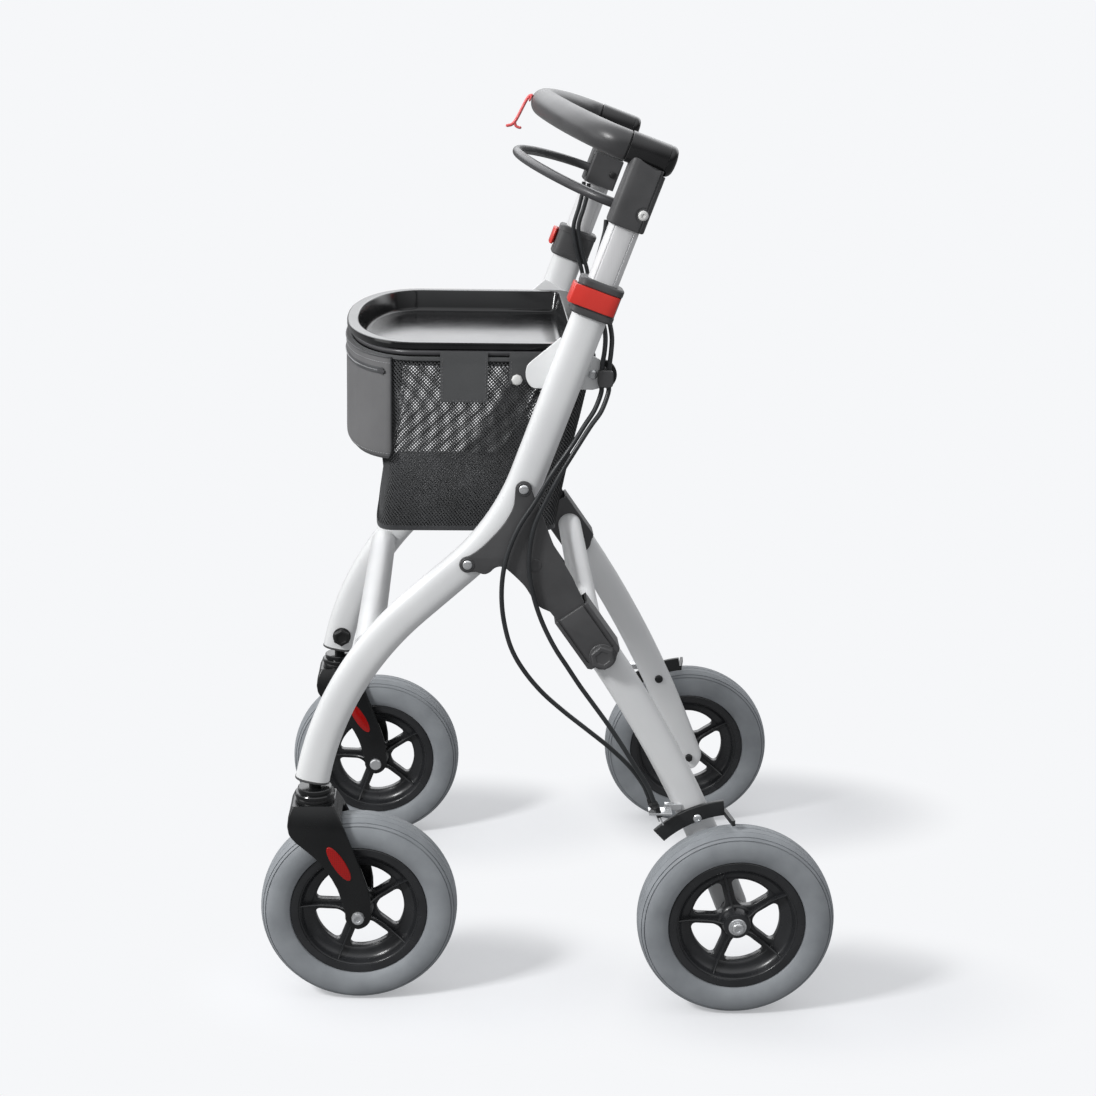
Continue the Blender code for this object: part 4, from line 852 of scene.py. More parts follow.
def make_hinge_housing(name, side):
    """The hinge box, with a groove inside each long edge and a lobe round the pivot."""
    lobe = [math.radians(d) for d in range(38, 150, 8)]
    edge = in_housing((-54.0, -19.2), (3.0, -19.2), (6.0, -16.2), (6.0, -10.0),
                      *[(14.2 * math.sin(a), -14.2 * math.cos(a)) for a in lobe],
                      (6.0, 14.6), (6.0, 15.6), (3.0, 18.6), (-54.0, 18.6))
    box = rounded_plate([edge], 183.7, 217.0, 1.2, side)
    room = in_housing((-58.0, -17.2), (24.0, -17.2), (24.0, 16.6), (-58.0, 16.6))
    cuts = [slab(room, *HOUSING_ROOM)]
    for back in (-15.6, 13.0):
        groove = in_housing((-58.0, back), (-3.0, back), (-1.0, back + 1.2), (-3.0, back + 2.4),
                            (-58.0, back + 2.4))
        cuts.append(slab(groove, 215.2, 218.0))
    gap = in_housing((-4.5, -21.0), (24.0, -21.0), (24.0, -13.0), (-4.5, -13.0))
    cuts.append(slab(gap, *HOUSING_ROOM))
    add_piece(f"hinge_box_{name}", box, "grey_nylon", "frame", [f"hinge_housing_{name}"],
              cut=[mirrored(shape, side) for shape in cuts])


def make_hinge_bolt(name, side):
    """The pivot bolt: a round flange, a hexagon head with a dished face, and its nut inside."""
    flange = [(176.5, 6.5), (177.2, 7.5), (183.3, 7.5), (183.3, 4.0), (217.2, 4.0), (217.2, 13.0),
              (218.6, 13.0), (219.2, 12.2), (219.2, 8.0)]
    head = [(218.8, 12.4), (223.0, 12.4), (224.0, 11.0), (224.0, 7.6), (223.2, 6.8), (223.2, 1.0)]
    add_piece(f"pivot_bolt_{name}", [sideways(flange, PIVOT, side, 48)], "grey_nylon", "frame",
              [f"hinge_bolt_{name}"], joined=[sideways(head, PIVOT, side, 6, 0.2)], edge=0.3)


def make_caster_housing(name, side):
    """The plug at a side tube's foot and its bolt with a hexagon head inside the frame."""
    foot = Vector(TUBE_CORNERS[2])
    way = (foot - Vector(TUBE_CORNERS[1])).normalized()
    rings = []
    for along, depth, width in ((-24.0, 13.9, 9.8), (0.3, 14.6, 9.8), (0.3, 16.8, 11.8),
                                (0.8, 17.4, 12.4), (2.0, 17.4, 12.4), (2.6, 16.6, 11.6)):
        spot = foot + way * along
        rings.append(oval((POST_X, spot.x, spot.y), way, depth, width))
    bore = turned([(226.0, 6.4), (262.0, 6.4)], (POST_X, SWIVEL_Y, 0), (0, 0, 1), 32)
    add_piece(f"foot_plug_{name}", [mirrored(skin(rings), side)], "grey_nylon", "frame",
              [f"caster_housing_{name}"], cut=[mirrored(bore, side)])
    washer = [(191.0, 4.0), (185.6, 4.0), (185.6, 10.6), (184.6, 10.6), (184.2, 9.8), (184.2, 6.0)]
    head = [(184.6, 10.2), (178.0, 10.2), (176.8, 8.9), (176.8, 6.4), (178.0, 5.8), (178.0, 0.6)]
    add_piece(f"foot_bolt_{name}", [sideways(washer, HOUSING_BOLT, side, 40)], "boot", "frame",
              joined=[sideways(head, HOUSING_BOLT, side, 6)], edge=0.3)


def make_basket_bracket(name, side):
    """The painted bracket plate, its screw, and the rubber cap round its rear lobe."""
    nose = [(4.5, 680.0), (-10.0, 667.5), (-24.0, 655.8), (-27.3, 650.0), (-27.6, 641.5),
            (-24.0, 634.0), (-19.5, 631.0)]
    edge = smooth(nose, 1.5) + [(36.0, 630.0)]
    edge += arc(BRACKET_LOBE, 13.0, -92, 88, 20)
    plate = rounded_plate([edge, arc(BRACKET_SCREW, 3.2, 0, 340, 17)], 182.7, 185.6, 0.7, side)
    add_piece(f"bracket_plate_{name}", plate, "paint", "frame", [f"basket_bracket_{name}"])
    cap = arc(BRACKET_LOBE, 14.6, -70, 88, 20) + arc(BRACKET_LOBE, 8.6, 88, -70, 14)
    add_piece(f"bracket_cap_{name}", rounded_plate([cap], 181.9, 187.6, 0.9, side), "boot", "frame")
    screw = [(185.4, 4.6), (187.2, 4.4), (188.0, 3.4), (188.3, 1.2)]
    add_piece(f"bracket_screw_{name}", [sideways(screw, BRACKET_SCREW, side)], "zinc", "frame")


def make_clip(name, side):
    """The moulded clip that holds both brake cables behind the side tube."""
    edge = smooth([(40.6, 636.0), (44.0, 634.2), (51.0, 634.2), (54.3, 636.0), (54.8, 642.5),
                   (54.3, 649.0), (51.0, 650.8), (44.0, 650.8), (40.6, 649.0), (40.1, 642.5)],
                  1.0, True)
    ways = [mirrored(turned([(630.0, 2.9), (655.0, 2.9)], (191.0, y, 0), (0, 0, 1), 24), side)
            for y in (44.0, 50.9)]
    add_piece(f"cable_holder_{name}", rounded_plate([edge], 186.0, 196.0, 1.2, side),
              "grey_nylon", "frame", [f"cable_clip_{name}"], cut=ways)


# Brake cables: each runs from a bracket's cheek to the clip, and on to its adjuster
CABLE_ROUTES = {
    "front": ((177.0, 45.5, 789.8), (177.0, 44.5, 779.0), (176.8, 40.5, 762.0),
              (176.8, 35.0, 741.0), (176.8, 37.0, 722.0), (176.9, 41.0, 706.0),
              (178.2, 45.0, 693.0), (183.0, 47.0, 681.0), (188.0, 46.2, 668.0),
              (191.0, 44.2, 656.0), (191.0, 44.0, 648.0), (191.0, 44.0, 637.0),
              (191.4, 43.6, 628.0), (196.0, 37.6, 613.0), (204.5, 28.0, 600.0),
              (213.5, 15.0, 581.0), (217.8, -3.0, 555.0), (218.2, -17.0, 530.0),
              (218.2, -33.0, 504.0), (218.2, -43.0, 479.0), (218.2, -48.0, 456.0),
              (218.2, -49.0, 431.0), (218.2, -46.0, 406.0), (218.2, -39.0, 381.0),
              (218.2, -27.0, 359.0), (218.2, -9.0, 336.5), (217.8, 13.0, 316.0),
              (217.0, 37.0, 296.0), (216.0, 60.0, 276.5), (214.6, 80.0, 256.0),
              (213.4, 93.6, 237.0), (213.4, 100.4, 222.0)),
    "rear": ((177.0, 50.8, 787.9), (177.0, 49.8, 777.0), (176.8, 46.0, 761.0),
             (176.8, 40.6, 741.0), (176.8, 43.0, 722.0), (176.9, 47.0, 706.0),
             (178.2, 51.0, 693.0), (183.0, 53.2, 680.0), (188.0, 52.4, 667.0),
             (191.0, 51.0, 656.0), (191.0, 50.9, 648.0), (191.0, 50.9, 637.0),
             (191.6, 50.3, 628.0), (198.5, 43.6, 612.0), (207.5, 33.6, 600.0),
             (215.5, 20.6, 581.0), (218.2, 5.0, 555.0), (218.2, -8.0, 529.0),
             (218.2, -18.0, 506.0), (218.2, -22.5, 483.0), (218.2, -23.0, 460.0),
             (218.2, -19.0, 437.0), (218.6, -13.0, 417.0), (219.4, -5.5, 399.0),
             (220.4, 4.0, 381.0), (221.0, 15.0, 364.0), (221.4, 28.0, 344.0),
             (221.4, 41.5, 325.0), (221.4, 57.0, 303.0), (221.4, 72.0, 280.0),
             (221.4, 86.0, 257.0), (221.4, 97.6, 238.0), (221.4, 104.4, 222.0)),
}


def make_cable(name, side, place):
    """One sheathed cable in two lengths that meet inside the clip."""
    route = [Vector((p.x * side, p.y, p.z)) for p in smooth(CABLE_ROUTES[place], 3.0)]
    upper = [p for p in route if p.z >= CLIP_Z - 2.0]
    lower = [p for p in route if p.z <= CLIP_Z + 2.0]
    values = {"Radius": SHEATH_R * MM, "Sides": 16, "Material": finish["sheath"]}
    for part, line, ends, span in (("upper", upper, ("frame", "handle"), (665.0, 785.0)),
                                   ("lower", lower, ("frame", "rear_frame"), (420.0, 235.0))):
        mesh = grown_mesh([line], threads, values)
        mesh.shade_smooth()
        mesh.set_sharp_from_angle(angle=math.radians(60))
        piece = bpy.data.objects.new(f"cable_{name}_{place}_{part}", mesh)
        bpy.context.collection.objects.link(piece)
        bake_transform(piece)
        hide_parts(f"brake_cable_{name}_{place}")


# Handle

def make_telescopic_tube(name, side):
    """The drawn tube, with two grooves down each broad face."""
    section = []
    for d, w in superellipse(14.9, 9.8, 144):
        groove = 0.55 if abs(abs(d) - 9.3) < 0.55 and abs(w) > 5 else 0.0
        section.append((d, w - math.copysign(groove, w)))
    outer = [[post_point(POST_X + w, t, d) for d, w in section] for t in (-125.0, 116.0)]
    inner = post_rings(13.4, 8.3, (116.0, -125.0), 144)
    add_piece(f"inner_tube_{name}", [mirrored(skin(outer + inner, True), side)],
              "aluminium", "handle", [f"telescopic_tube_{name}"],
              cut=[sideways(SCREW_WAY, LOOP_PIVOT, side, 24)], sharp=30.0)


def make_bracket(name, side):
    """The moulded T bracket: a flat-sided sleeve with a wavy top and a groove near its back."""
    section = []
    for d, w in superellipse(18.0, 15.0, 160, 5.0):
        groove = 0.9 if 11.9 < d < 13.3 and abs(w) > 10 else 0.0
        section.append((d, w - math.copysign(groove, w)))

    def top(v):
        """The plate's upper edge dips in a wave from its front to its back."""
        knots = ((-18.0, 133.4), (-14.5, 134.6), (-11.2, 134.4), (-5.6, 132.7), (0.2, 130.7),
                 (6.2, 130.0), (13.6, 131.3), (18.0, 131.8))
        for a, b in zip(knots, knots[1:]):
            if v <= b[0]:
                share = min(max((v - a[0]) / (b[0] - a[0]), 0.0), 1.0)
                return a[1] + (b[1] - a[1]) * share ** 2 * (3 - 2 * share)
        return knots[-1][1]

    heights = ((71.3, 1.0), (72.1, 0.2), (73.2, 0.0), (100.0, 0.0))
    rings = [[post_point(POST_X + w * (1 - trim / 15), t, d * (1 - trim / 18)) for d, w in section]
             for t, trim in heights]
    rings.append([post_point(POST_X + w, top(d) - 0.8, d) for d, w in section])
    rings.append([post_point(POST_X + w * 0.965, top(d), d * 0.97) for d, w in section])
    front, back = SLEEVE_V
    sleeve = turned([(front, 14.1), (front + 0.4, 14.6), (back - 0.3, 14.6), (back, 14.4)],
                    post_point(POST_X, HANDLE_T, 0.0), POST_BACK, 64)
    cap_room = post_block([(POST_X - 17, back), (POST_X + 17, back), (POST_X + 17, 26.0),
                           (POST_X - 17, 26.0)], (HANDLE_T - 14.9, HANDLE_T + 5.0))
    cheek = post_block([(170.0, -14.0), (172.0, -16.0), (185.0, -16.0), (185.0, 17.5),
                        (172.0, 17.5), (170.0, 15.5)], (heights[0][0], 105.0))
    slot = post_block([(172.4, -18.0), (182.6, -18.0), (182.6, 16.2), (172.4, 16.2)],
                      (LOOP_T - 12.5, LOOP_T + 14.0))
    room = skin(post_rings(15.2, 10.1, (69.0, 116.3)))
    add_piece(f"bracket_{name}", [mirrored(skin(rings), side)], "grey_nylon", "handle",
              [f"handle_bracket_{name}"], joined=[mirrored(cheek, side)],
              cut=[mirrored(slot, side), mirrored(room, side),
                   sideways([(212.2, 7.4), (220.0, 7.4)], LOOP_PIVOT, side, 40),
                   sideways(SCREW_WAY, LOOP_PIVOT, side, 24), mirrored(cap_room, side)])
    add_piece(f"handle_sleeve_{name}", [mirrored(sleeve, side)], "sleeve", "handle")


def make_handle():
    """The telescopic tubes and brackets, the grip, its end caps, and the bag hook."""
    for name, side in SIDES:
        make_telescopic_tube(name, side)
        make_bracket(name, side)
        cap = [(14.1, 14.3), (14.4, 14.6), (16.6, 14.6), (18.6, 13.9), (20.3, 12.5), (21.6, 10.3),
               (22.3, 7.4), (22.6, 4.0), (22.7, 0.8)]
        add_piece(f"end_cap_{name}",
                  [turned(cap, post_point(POST_X * side, HANDLE_T, 0.0), POST_BACK, 64)],
                  "black_abs", "handle", [f"handle_end_cap_{name}"])
        nut = [(167.2, 2.6), (167.8, 3.6), (169.8, 3.8), (169.8, 1.0)]
        add_piece(f"loop_nut_{name}", [sideways(nut, LOOP_PIVOT, side, 24)], "boot", "handle")
        screw = [(169.7, 1.0), (169.7, 2.7), (212.6, 2.7), (212.6, 4.7), (214.2, 4.7),
                 (215.0, 4.1), (215.5, 3.0), (215.6, 2.0), (214.8, 1.8), (214.8, 0.4)]
        add_piece(f"loop_screw_{name}", [sideways(screw, LOOP_PIVOT, side, 40)], "white_nylon",
                  "handle", [f"brake_pivot_screw_{name}"])
    grip = even_points(bowed_path(POST_X, SLEEVE_V[0] - 0.1, HANDLE_BOW, HANDLE_T), 260)
    add_piece("grip_cover", [tube(grip, rounded_ends(grip, 14.0, 1.2), 48)], "grip", "handle",
              ["handle_grip", "handle_tube"])
    root = post_point(0.0, HANDLE_T, HANDLE_BOW[1] - 14.3)
    stem = smooth([root + POST_BACK * 4.0, root - POST_BACK * 3.2, (0.0, -36.5, 866.0),
                   (0.0, -45.5, 861.5)], 1.0)
    tongue = smooth([(0.0, -36.5, 866.0), (0.0, -35.6, 862.2), (0.0, -32.8, 860.4),
                     (0.0, -29.6, 860.0)], 0.8)
    collar = turned([(0.0, 3.4), (0.5, 4.2), (1.4, 4.2), (1.8, 3.4)], root, -POST_BACK, 24)
    add_piece("wire_hook", [tube(stem, rounded_ends(stem, 1.6, 1.2), 16)], "red_wire", "handle",
              ["bag_hook"], joined=[tube(tongue, rounded_ends(tongue, 1.4, 1.1), 16), collar],
              sharp=50.0)


def make_brake_loop():
    """The dipped wire loop, with an eye round the pivot screw at each end."""
    path = even_points(bowed_path(LOOP_HALF, LOOP_V - 3.0, LOOP_BOW, LOOP_T - LOOP_DROP), 240)
    spots = [post_point(LOOP_HALF * side, LOOP_T, LOOP_V) for _, side in SIDES]
    eyes = [turned([(-4.0, 5.0), (-3.4, 5.6), (3.4, 5.6), (4.0, 5.0)], spot, (1, 0, 0), 32)
            for spot in spots]
    holes = [turned([(-7.0, 3.0), (7.0, 3.0)], spot, (1, 0, 0), 24) for spot in spots]
    add_piece("brake_wire_loop", [tube(path, [4.7] * len(path), 32)], "dip", "brake_loop",
              ["brake_loop"], joined=eyes, cut=holes, sharp=50.0)


# Rear legs, brake bars and wheels

def make_leg(name, side):
    """A gently curved flat tube with round ends and the brake bar's stud on its outside."""
    line = bent_line([PIVOT, LEG_BEND, (REAR_AXLE_Y, AXLE_Z)], (LEG_BEND_R,))
    rings = []
    for spot, way, sign in ((*line[0], -1), (*line[-1], 1)):
        turns = [math.radians(a) for a in (73, 64, 54, 43, 31, 18, 8)]
        caps = [oval((POST_X, *(spot + way * sign * LEG_DEPTH * math.sin(a))), way,
                     LEG_DEPTH * math.cos(a), LEG_WIDTH * (0.88 + 0.12 * math.cos(a) ** 0.5), 64)
                for a in turns]
        rings.append(caps if sign < 0 else caps[::-1])
    middle = [oval((POST_X, p.x, p.y), way, LEG_DEPTH, LEG_WIDTH, 64) for p, way in line]
    shape = skin(rings[0] + middle + rings[1])
    axle = (REAR_AXLE_Y, AXLE_Z)
    holes = [sideways([(184.0, AXLE_HOLE_R), (212.0, AXLE_HOLE_R)], spot, side)
             for spot in (PIVOT, axle)]
    add_piece(f"leg_{name}", [mirrored(shape, side)], "paint", "rear_frame",
              [f"rear_leg_{name}"], cut=holes)
    stud = [(200.0, 2.7), (214.4, 2.7), (214.4, 4.2), (215.8, 4.2), (216.8, 3.4), (217.2, 2.2),
            (217.2, 1.7), (216.4, 1.4), (216.4, 0.4)]
    add_piece(f"bar_stud_{name}", [sideways(stud, BAR_PIVOT, side, 40)], "zinc", "rear_frame")
    nut = [(188.4, 2.4), (187.0, 4.8), (185.6, 4.8), (184.4, 3.6), (184.2, 1.0)]
    add_piece(f"stud_nut_{name}", [sideways(nut, BAR_PIVOT, side)], "boot", "rear_frame")
    nut = [(182.0, 3.0), (182.6, 4.4), (187.1, 4.6), (187.2, 3.0)]
    add_piece(f"axle_nut_{name}", [sideways(nut, axle, side, 6)], "boot", "rear_frame")
    bolt = [(187.1, 4.0), (208.9, 4.0), (208.9, 9.0), (213.1, 9.0), (213.1, 4.0), (251.9, 4.0),
            (251.9, 9.0), (253.1, 9.0), (253.6, 8.4), (253.6, 6.4), (256.6, 6.4), (257.8, 5.8),
            (258.5, 4.6), (258.5, 3.4), (256.6, 2.8), (256.6, 0.5)]
    add_piece(f"axle_bolt_{name}", [sideways(bolt, axle, side, 48)], "zinc", "rear_frame",
              [f"rear_axle_{name}"])


def make_adjuster(name, side):
    """Two cable adjusters in a plate on a lug, each with a rubber boot and its inner wire."""
    plate = [(100.0, 208.0), (123.0, 208.0), (123.0, 210.2), (100.0, 210.2)]
    lug = [(117.0, 206.8), (134.0, 206.8), (134.0, 213.2), (117.0, 213.2)]
    boot = [(0.0, 2.5), (0.6, 2.9), (3.6, 3.4), (4.2, 3.0), (4.8, 3.7), (5.4, 3.1), (6.0, 3.8),
            (6.8, 3.3), (9.0, 3.3), (9.2, 2.9), (17.4, 2.9)]
    boots, wires = [], []
    for top, foot in (((213.4, 100.6, 221.5), (213.4, 107.6, 205.5)),
                      ((221.4, 104.6, 221.5), (221.4, 111.0, 205.5))):
        top, foot = Vector(top), Vector(foot)
        way = (foot - top).normalized()
        boots.append(mirrored(turned(boot, top, way, 24), side))
        wire = (foot - way * 2, foot + way * 4, foot + way * 10)
        wires.append([Vector((p.x * side, p.y, p.z)) for p in wire])
    add_piece(f"adjuster_{name}", rounded_plate([plate], 208.9, 225.0, 0.5, side),
              "zinc", "rear_frame", [f"cable_adjuster_{name}"],
              joined=[rounded_plate([lug], 203.0, 209.9, 0.5, side)])
    add_piece(f"adjuster_boots_{name}", boots, "boot", "rear_frame")
    add_threads(f"adjuster_wires_{name}", wires, 0.8, 10, "zinc", "rear_frame")


def make_brake_bar(name, side):
    """The curved brake bar on the leg's outer face, and its shoe that stands over the tyre."""
    axle = (REAR_AXLE_Y, AXLE_Z)
    edge = arc(axle, 104.8, 96.7, 133.7, 24) + arc(axle, 120.5, 133.7, 96.7, 24)
    hole = sideways([(205.0, 3.4), (220.0, 3.4)], BAR_PIVOT, side)
    sections = []
    for x, start, end in ((210.2, 95.6, 97.6), (240.2, 92.9, 94.7), (241.0, 93.1, 94.5)):
        section = arc(axle, 104.8, start, end, 2) + arc(axle, 110.5, end, start, 2)
        sections.append([Vector((x, *p)) for p in section])
    add_piece(f"bar_{name}", rounded_plate([edge], 209.2, 214.0, 1.0, side), "bar_nylon",
              f"brake_bar_{name}", [f"brake_bar_{name}"],
              joined=[mirrored(skin(sections), side)], cut=[hole])


def window(centre, middle):
    """A rounded opening between two spokes, as (y, z) points."""
    half = ((17.5, 0.0), (17.7, 0.09), (18.5, 0.19), (20.0, 0.29), (22.0, 0.365), (24.5, 0.409),
            (30.0, 0.451), (36.0, 0.481), (39.5, 0.494), (41.7, 0.491), (43.4, 0.468),
            (44.5, 0.43), (45.0, 0.375), (45.1, 0.19), (45.1, 0.0))
    points = [(r, middle + h) for r, h in half] + [(r, middle - h) for r, h in half[-2:0:-1]]
    flat = [(centre[0] + r * math.cos(a), centre[1] + r * math.sin(a)) for r, a in points]
    return smooth(flat, 1.6, True)


def make_wheel(label, name, side, x, y):
    """A cast tyre on a moulded rim with a deep barrel and five ribbed spokes."""
    centre = (x * side, y, AXLE_Z)
    half = [(16.0, 68.9), (17.8, 69.8), (19.6, 72.4), (21.0, 76.2), (21.8, 81.0), (21.6, 85.4),
            (20.6, 89.4), (19.2, 92.2), (18.9, 92.7), (17.6, 92.6), (17.4, 93.3), (18.2, 93.7),
            (16.7, 95.3), (16.3, 95.6), (15.2, 95.0), (14.8, 95.7), (15.3, 96.3), (12.2, 97.8),
            (9.0, 98.6), (8.5, 97.9), (8.0, 98.7), (4.6, 99.0), (1.2, TYRE_R), (0.6, 98.5)]
    tyre = turned(both_ways(half), centre, (1, 0, 0), WHEEL_STEPS, True)
    add_piece(f"{label}_tyre_cast_{name}", [tyre], "tyre", f"{label}_wheel_{name}",
              [f"{label}_tyre_{name}"], sharp=24.0)
    half = [(16.0, 68.7), (16.7, 68.6), (17.2, 67.9), (17.2, 61.6), (16.8, 60.9), (15.8, 60.7),
            (15.2, 60.2), (14.8, 59.2), (13.4, 58.4), (11.0, 57.4), (8.6, 55.4), (7.0, 52.6),
            (6.0, 49.6), (5.2, 47.2), (4.2, 46.2)]
    barrel = turned(both_ways(half), centre, (1, 0, 0), WHEEL_STEPS, True)
    half = [(HUB_HALF, AXLE_HOLE_R), (HUB_HALF, 11.6), (18.4, 12.8), (17.4, 13.4), (8.0, 14.3),
            (5.6, 15.6), (4.6, 17.2)]
    hub = turned(both_ways(half), centre, (1, 0, 0), 64, True)
    flat = (y, AXLE_Z)
    middles = [math.radians(SPOKE_TURN + 36 + 72 * i) for i in range(5)]
    outlines = [arc(flat, 48.0, 0, 356, 89), arc(flat, 9.0, 0, 350, 35)]
    outlines += [window(flat, middle) for middle in middles]
    web = rounded_plate(outlines, x - 4.6, x + 4.6, 1.5, side)
    ribs = []
    for middle in middles:
        spoke = middle + math.radians(36)
        out = Vector((0.0, math.cos(spoke), math.sin(spoke)))
        across = Vector((0.0, -math.sin(spoke), math.cos(spoke)))
        for face in (1, -1):
            rings = []
            for reach, crest, foot, wide in ((11.5, 15.6, 2.0, 1.5), (16.0, 13.6, 2.0, 1.6),
                                             (22.0, 10.6, 2.0, 1.7), (30.0, 9.4, 2.0, 1.7),
                                             (42.0, 9.6, 2.0, 1.6), (50.0, 11.2, 3.0, 1.5),
                                             (56.0, 13.2, 6.0, 1.4), (60.0, 14.9, 11.0, 1.3)):
                spot = Vector(centre) + out * reach
                rings.append([spot + Vector((face * h, 0, 0)) + across * w for h, w in
                              ((foot, -wide), (crest - 0.6, -wide * 0.62), (crest, 0.0),
                               (crest - 0.6, wide * 0.62), (foot, wide))])
            ribs.append(skin(rings))
    add_piece(f"{label}_rim_moulded_{name}", [barrel], "rim", f"{label}_wheel_{name}",
              [f"{label}_rim_{name}"], joined=[web, hub, mesh_of(ribs)], sharp=32.0)


# Casters

def fork_edges():
    """The arm's front and rear edges as (z, y) points from its foot to its crown."""
    axle = Vector((FRONT_AXLE_Y, AXLE_Z))
    front = ((-206.2, 118.0), (-209.6, 129.0), (-215.0, 140.0), (-222.0, 151.5), (-230.0, 162.0),
             (-243.0, 173.6), (-252.0, 181.5), (-257.0, 189.0), (-258.5, 197.0), (-257.4, 207.0),
             (-253.6, 216.0))
    rear = ((-176.6, 114.0), (-178.6, 127.0), (-181.8, 138.0), (-187.5, 155.0), (-194.0, 172.0),
            (-200.2, 189.0), (-206.0, 203.0), (-212.5, 216.0))
    edges = []
    for way, places in ((-1, front), (1, rear)):
        turns = [math.radians(270 + 10 * i * way) for i in range(11)]
        foot = [axle + 13.0 * Vector((math.cos(a), math.sin(a))) for a in turns]
        edges.append(sorted((p.y, p.x) for p in foot + [Vector(place) for place in places]))
    return edges


def at_height(edge, z):
    """An edge's place at a height, on the straight line between its points."""
    for low, high in zip(edge, edge[1:]):
        if z <= high[0]:
            share = (z - low[0]) / max(high[0] - low[0], 1e-6)
            return low[1] + (high[1] - low[1]) * max(0.0, share)
    return edge[-1][1]


def make_fork(name, side):
    """The two-arm fork: flat arms that flow over rounded shoulders into a narrow crown."""
    front, rear = fork_edges()
    x = FRONT_TRACK

    def slice_ring(z, x0, x1, round_r=2.0):
        """A level ring between the arm's edges and two places along X, its corners rounded."""
        y0, y1 = at_height(front, z), at_height(rear, z)
        round_r = min(round_r, (y1 - y0) / 2.2, (x1 - x0) / 2.2)
        corners = ((x1 - round_r, y1 - round_r, 0), (x0 + round_r, y1 - round_r, 90),
                   (x0 + round_r, y0 + round_r, 180), (x1 - round_r, y0 + round_r, 270))
        points = []
        for cx, cy, start in corners:
            points += arc((cx, cy), round_r, start, start + 90, 5)
        return [Vector((px, py, z)) for px, py in points]

    def reach(z):
        """How far the outer face stands from the middle at a height."""
        share = min(max((z - 186.0) / 30.0, 0.0), 1.0)
        return 31.0 - 8.5 * share ** 1.7

    levels = [86.3, 86.9, 88.0, 90.0, 93.0, 97.0, 102.0, 108.0]
    levels += [115.0 + 5.0 * i for i in range(14)] + [184.0 + 2.0 * i for i in range(17)]
    inner = [25.5 if z < 200 else 15.0 for z in levels]
    arms = [skin([slice_ring(z, x + near, x + reach(z)) for z, near in zip(levels, inner)]),
            skin([slice_ring(z, x - reach(z), x - near) for z, near in zip(levels, inner)])]
    crown = skin([slice_ring(z, x - reach(z) + 0.2, x + reach(z) - 0.2, 3.0)
                  for z in (202.5, 203.2, 205.0, 208.0, 211.0, 213.5, 215.2, 216.0)])
    swivel = (x, SWIVEL_Y, 0)
    neck = turned([(211.0, 19.0), (217.5, 19.0), (219.5, 17.6), (219.5, 8.0)], swivel, (0, 0, 1),
                  64)
    axle = (FRONT_AXLE_Y, AXLE_Z)
    holes = sideways([(x - 35.0, AXLE_HOLE_R), (x + 35.0, AXLE_HOLE_R)], axle, side)
    add_piece(f"fork_{name}", [mirrored(arms[0], side)], "fork_nylon", f"caster_{name}",
              [f"caster_fork_{name}"], joined=[mirrored(s, side) for s in (arms[1], crown, neck)],
              cut=[holes], sharp=38.0)
    bearing = turned([(219.5, 17.0), (220.0, 20.0), (223.0, 20.0), (224.0, 19.2), (224.4, 17.0),
                      (228.2, 17.0), (229.0, 16.2), (229.0, 6.0), (257.0, 6.0), (258.0, 5.0)],
                     swivel, (0, 0, 1), 64)
    add_piece(f"swivel_bearing_{name}", [mirrored(bearing, side)], "black_abs", f"caster_{name}")
    slant = math.radians(-59.0)
    lens = []
    for i in range(48):
        p, q = 21.0 * math.cos(math.pi * i / 24), 6.2 * math.sin(math.pi * i / 24)
        lens.append((-208.0 + p * math.cos(slant) - q * math.sin(slant),
                     158.0 + p * math.sin(slant) + q * math.cos(slant)))
    plates = [rounded_plate([lens], x0, x0 + 3.2, 0.8, side) for x0 in (x + 29.0, x - 32.2)]
    add_piece(f"reflectors_{name}", joined_mesh(plates), "reflector", f"caster_{name}")
    bolt = [(-36.0, 5.8), (-34.8, 6.8), (-31.4, 6.8), (-31.4, 4.0), (-25.1, 4.0), (-25.1, 7.5),
            (-19.4, 7.5), (-19.4, 4.0), (19.4, 4.0), (19.4, 7.5), (25.1, 7.5), (25.1, 4.0),
            (31.4, 4.0), (31.4, 6.6), (34.0, 6.4), (35.4, 5.8), (36.0, 4.8), (36.0, 3.4),
            (34.2, 3.0), (34.2, 0.5)]
    add_piece(f"caster_bolt_{name}", [sideways([(x + d, r) for d, r in bolt], axle, side, 48)],
              "zinc", f"caster_{name}", [f"front_axle_{name}"])


# Basket, pouch and tray

def basket_size(z):
    """The basket's half width, front, rear and squareness at a height, between its levels."""
    for low, high in zip(BASKET_LEVELS, BASKET_LEVELS[1:]):
        if z <= high[0]:
            share = max(0.0, (z - low[0]) / (high[0] - low[0]))
            return [a + (b - a) * share for a, b in zip(low[1:], high[1:])]
    return list(BASKET_LEVELS[-1][1:])


def front_point(turn, half, front, power, z=0.0):
    """A place on the bowed front of a plan, at an angle from its left end round the front."""
    depth = FRONT_CENTRE_Y - front
    return Vector((half * math.copysign(abs(math.cos(turn)) ** (2 / power), math.cos(turn)),
                   FRONT_CENTRE_Y - depth * abs(math.sin(turn)) ** (2 / power), z))


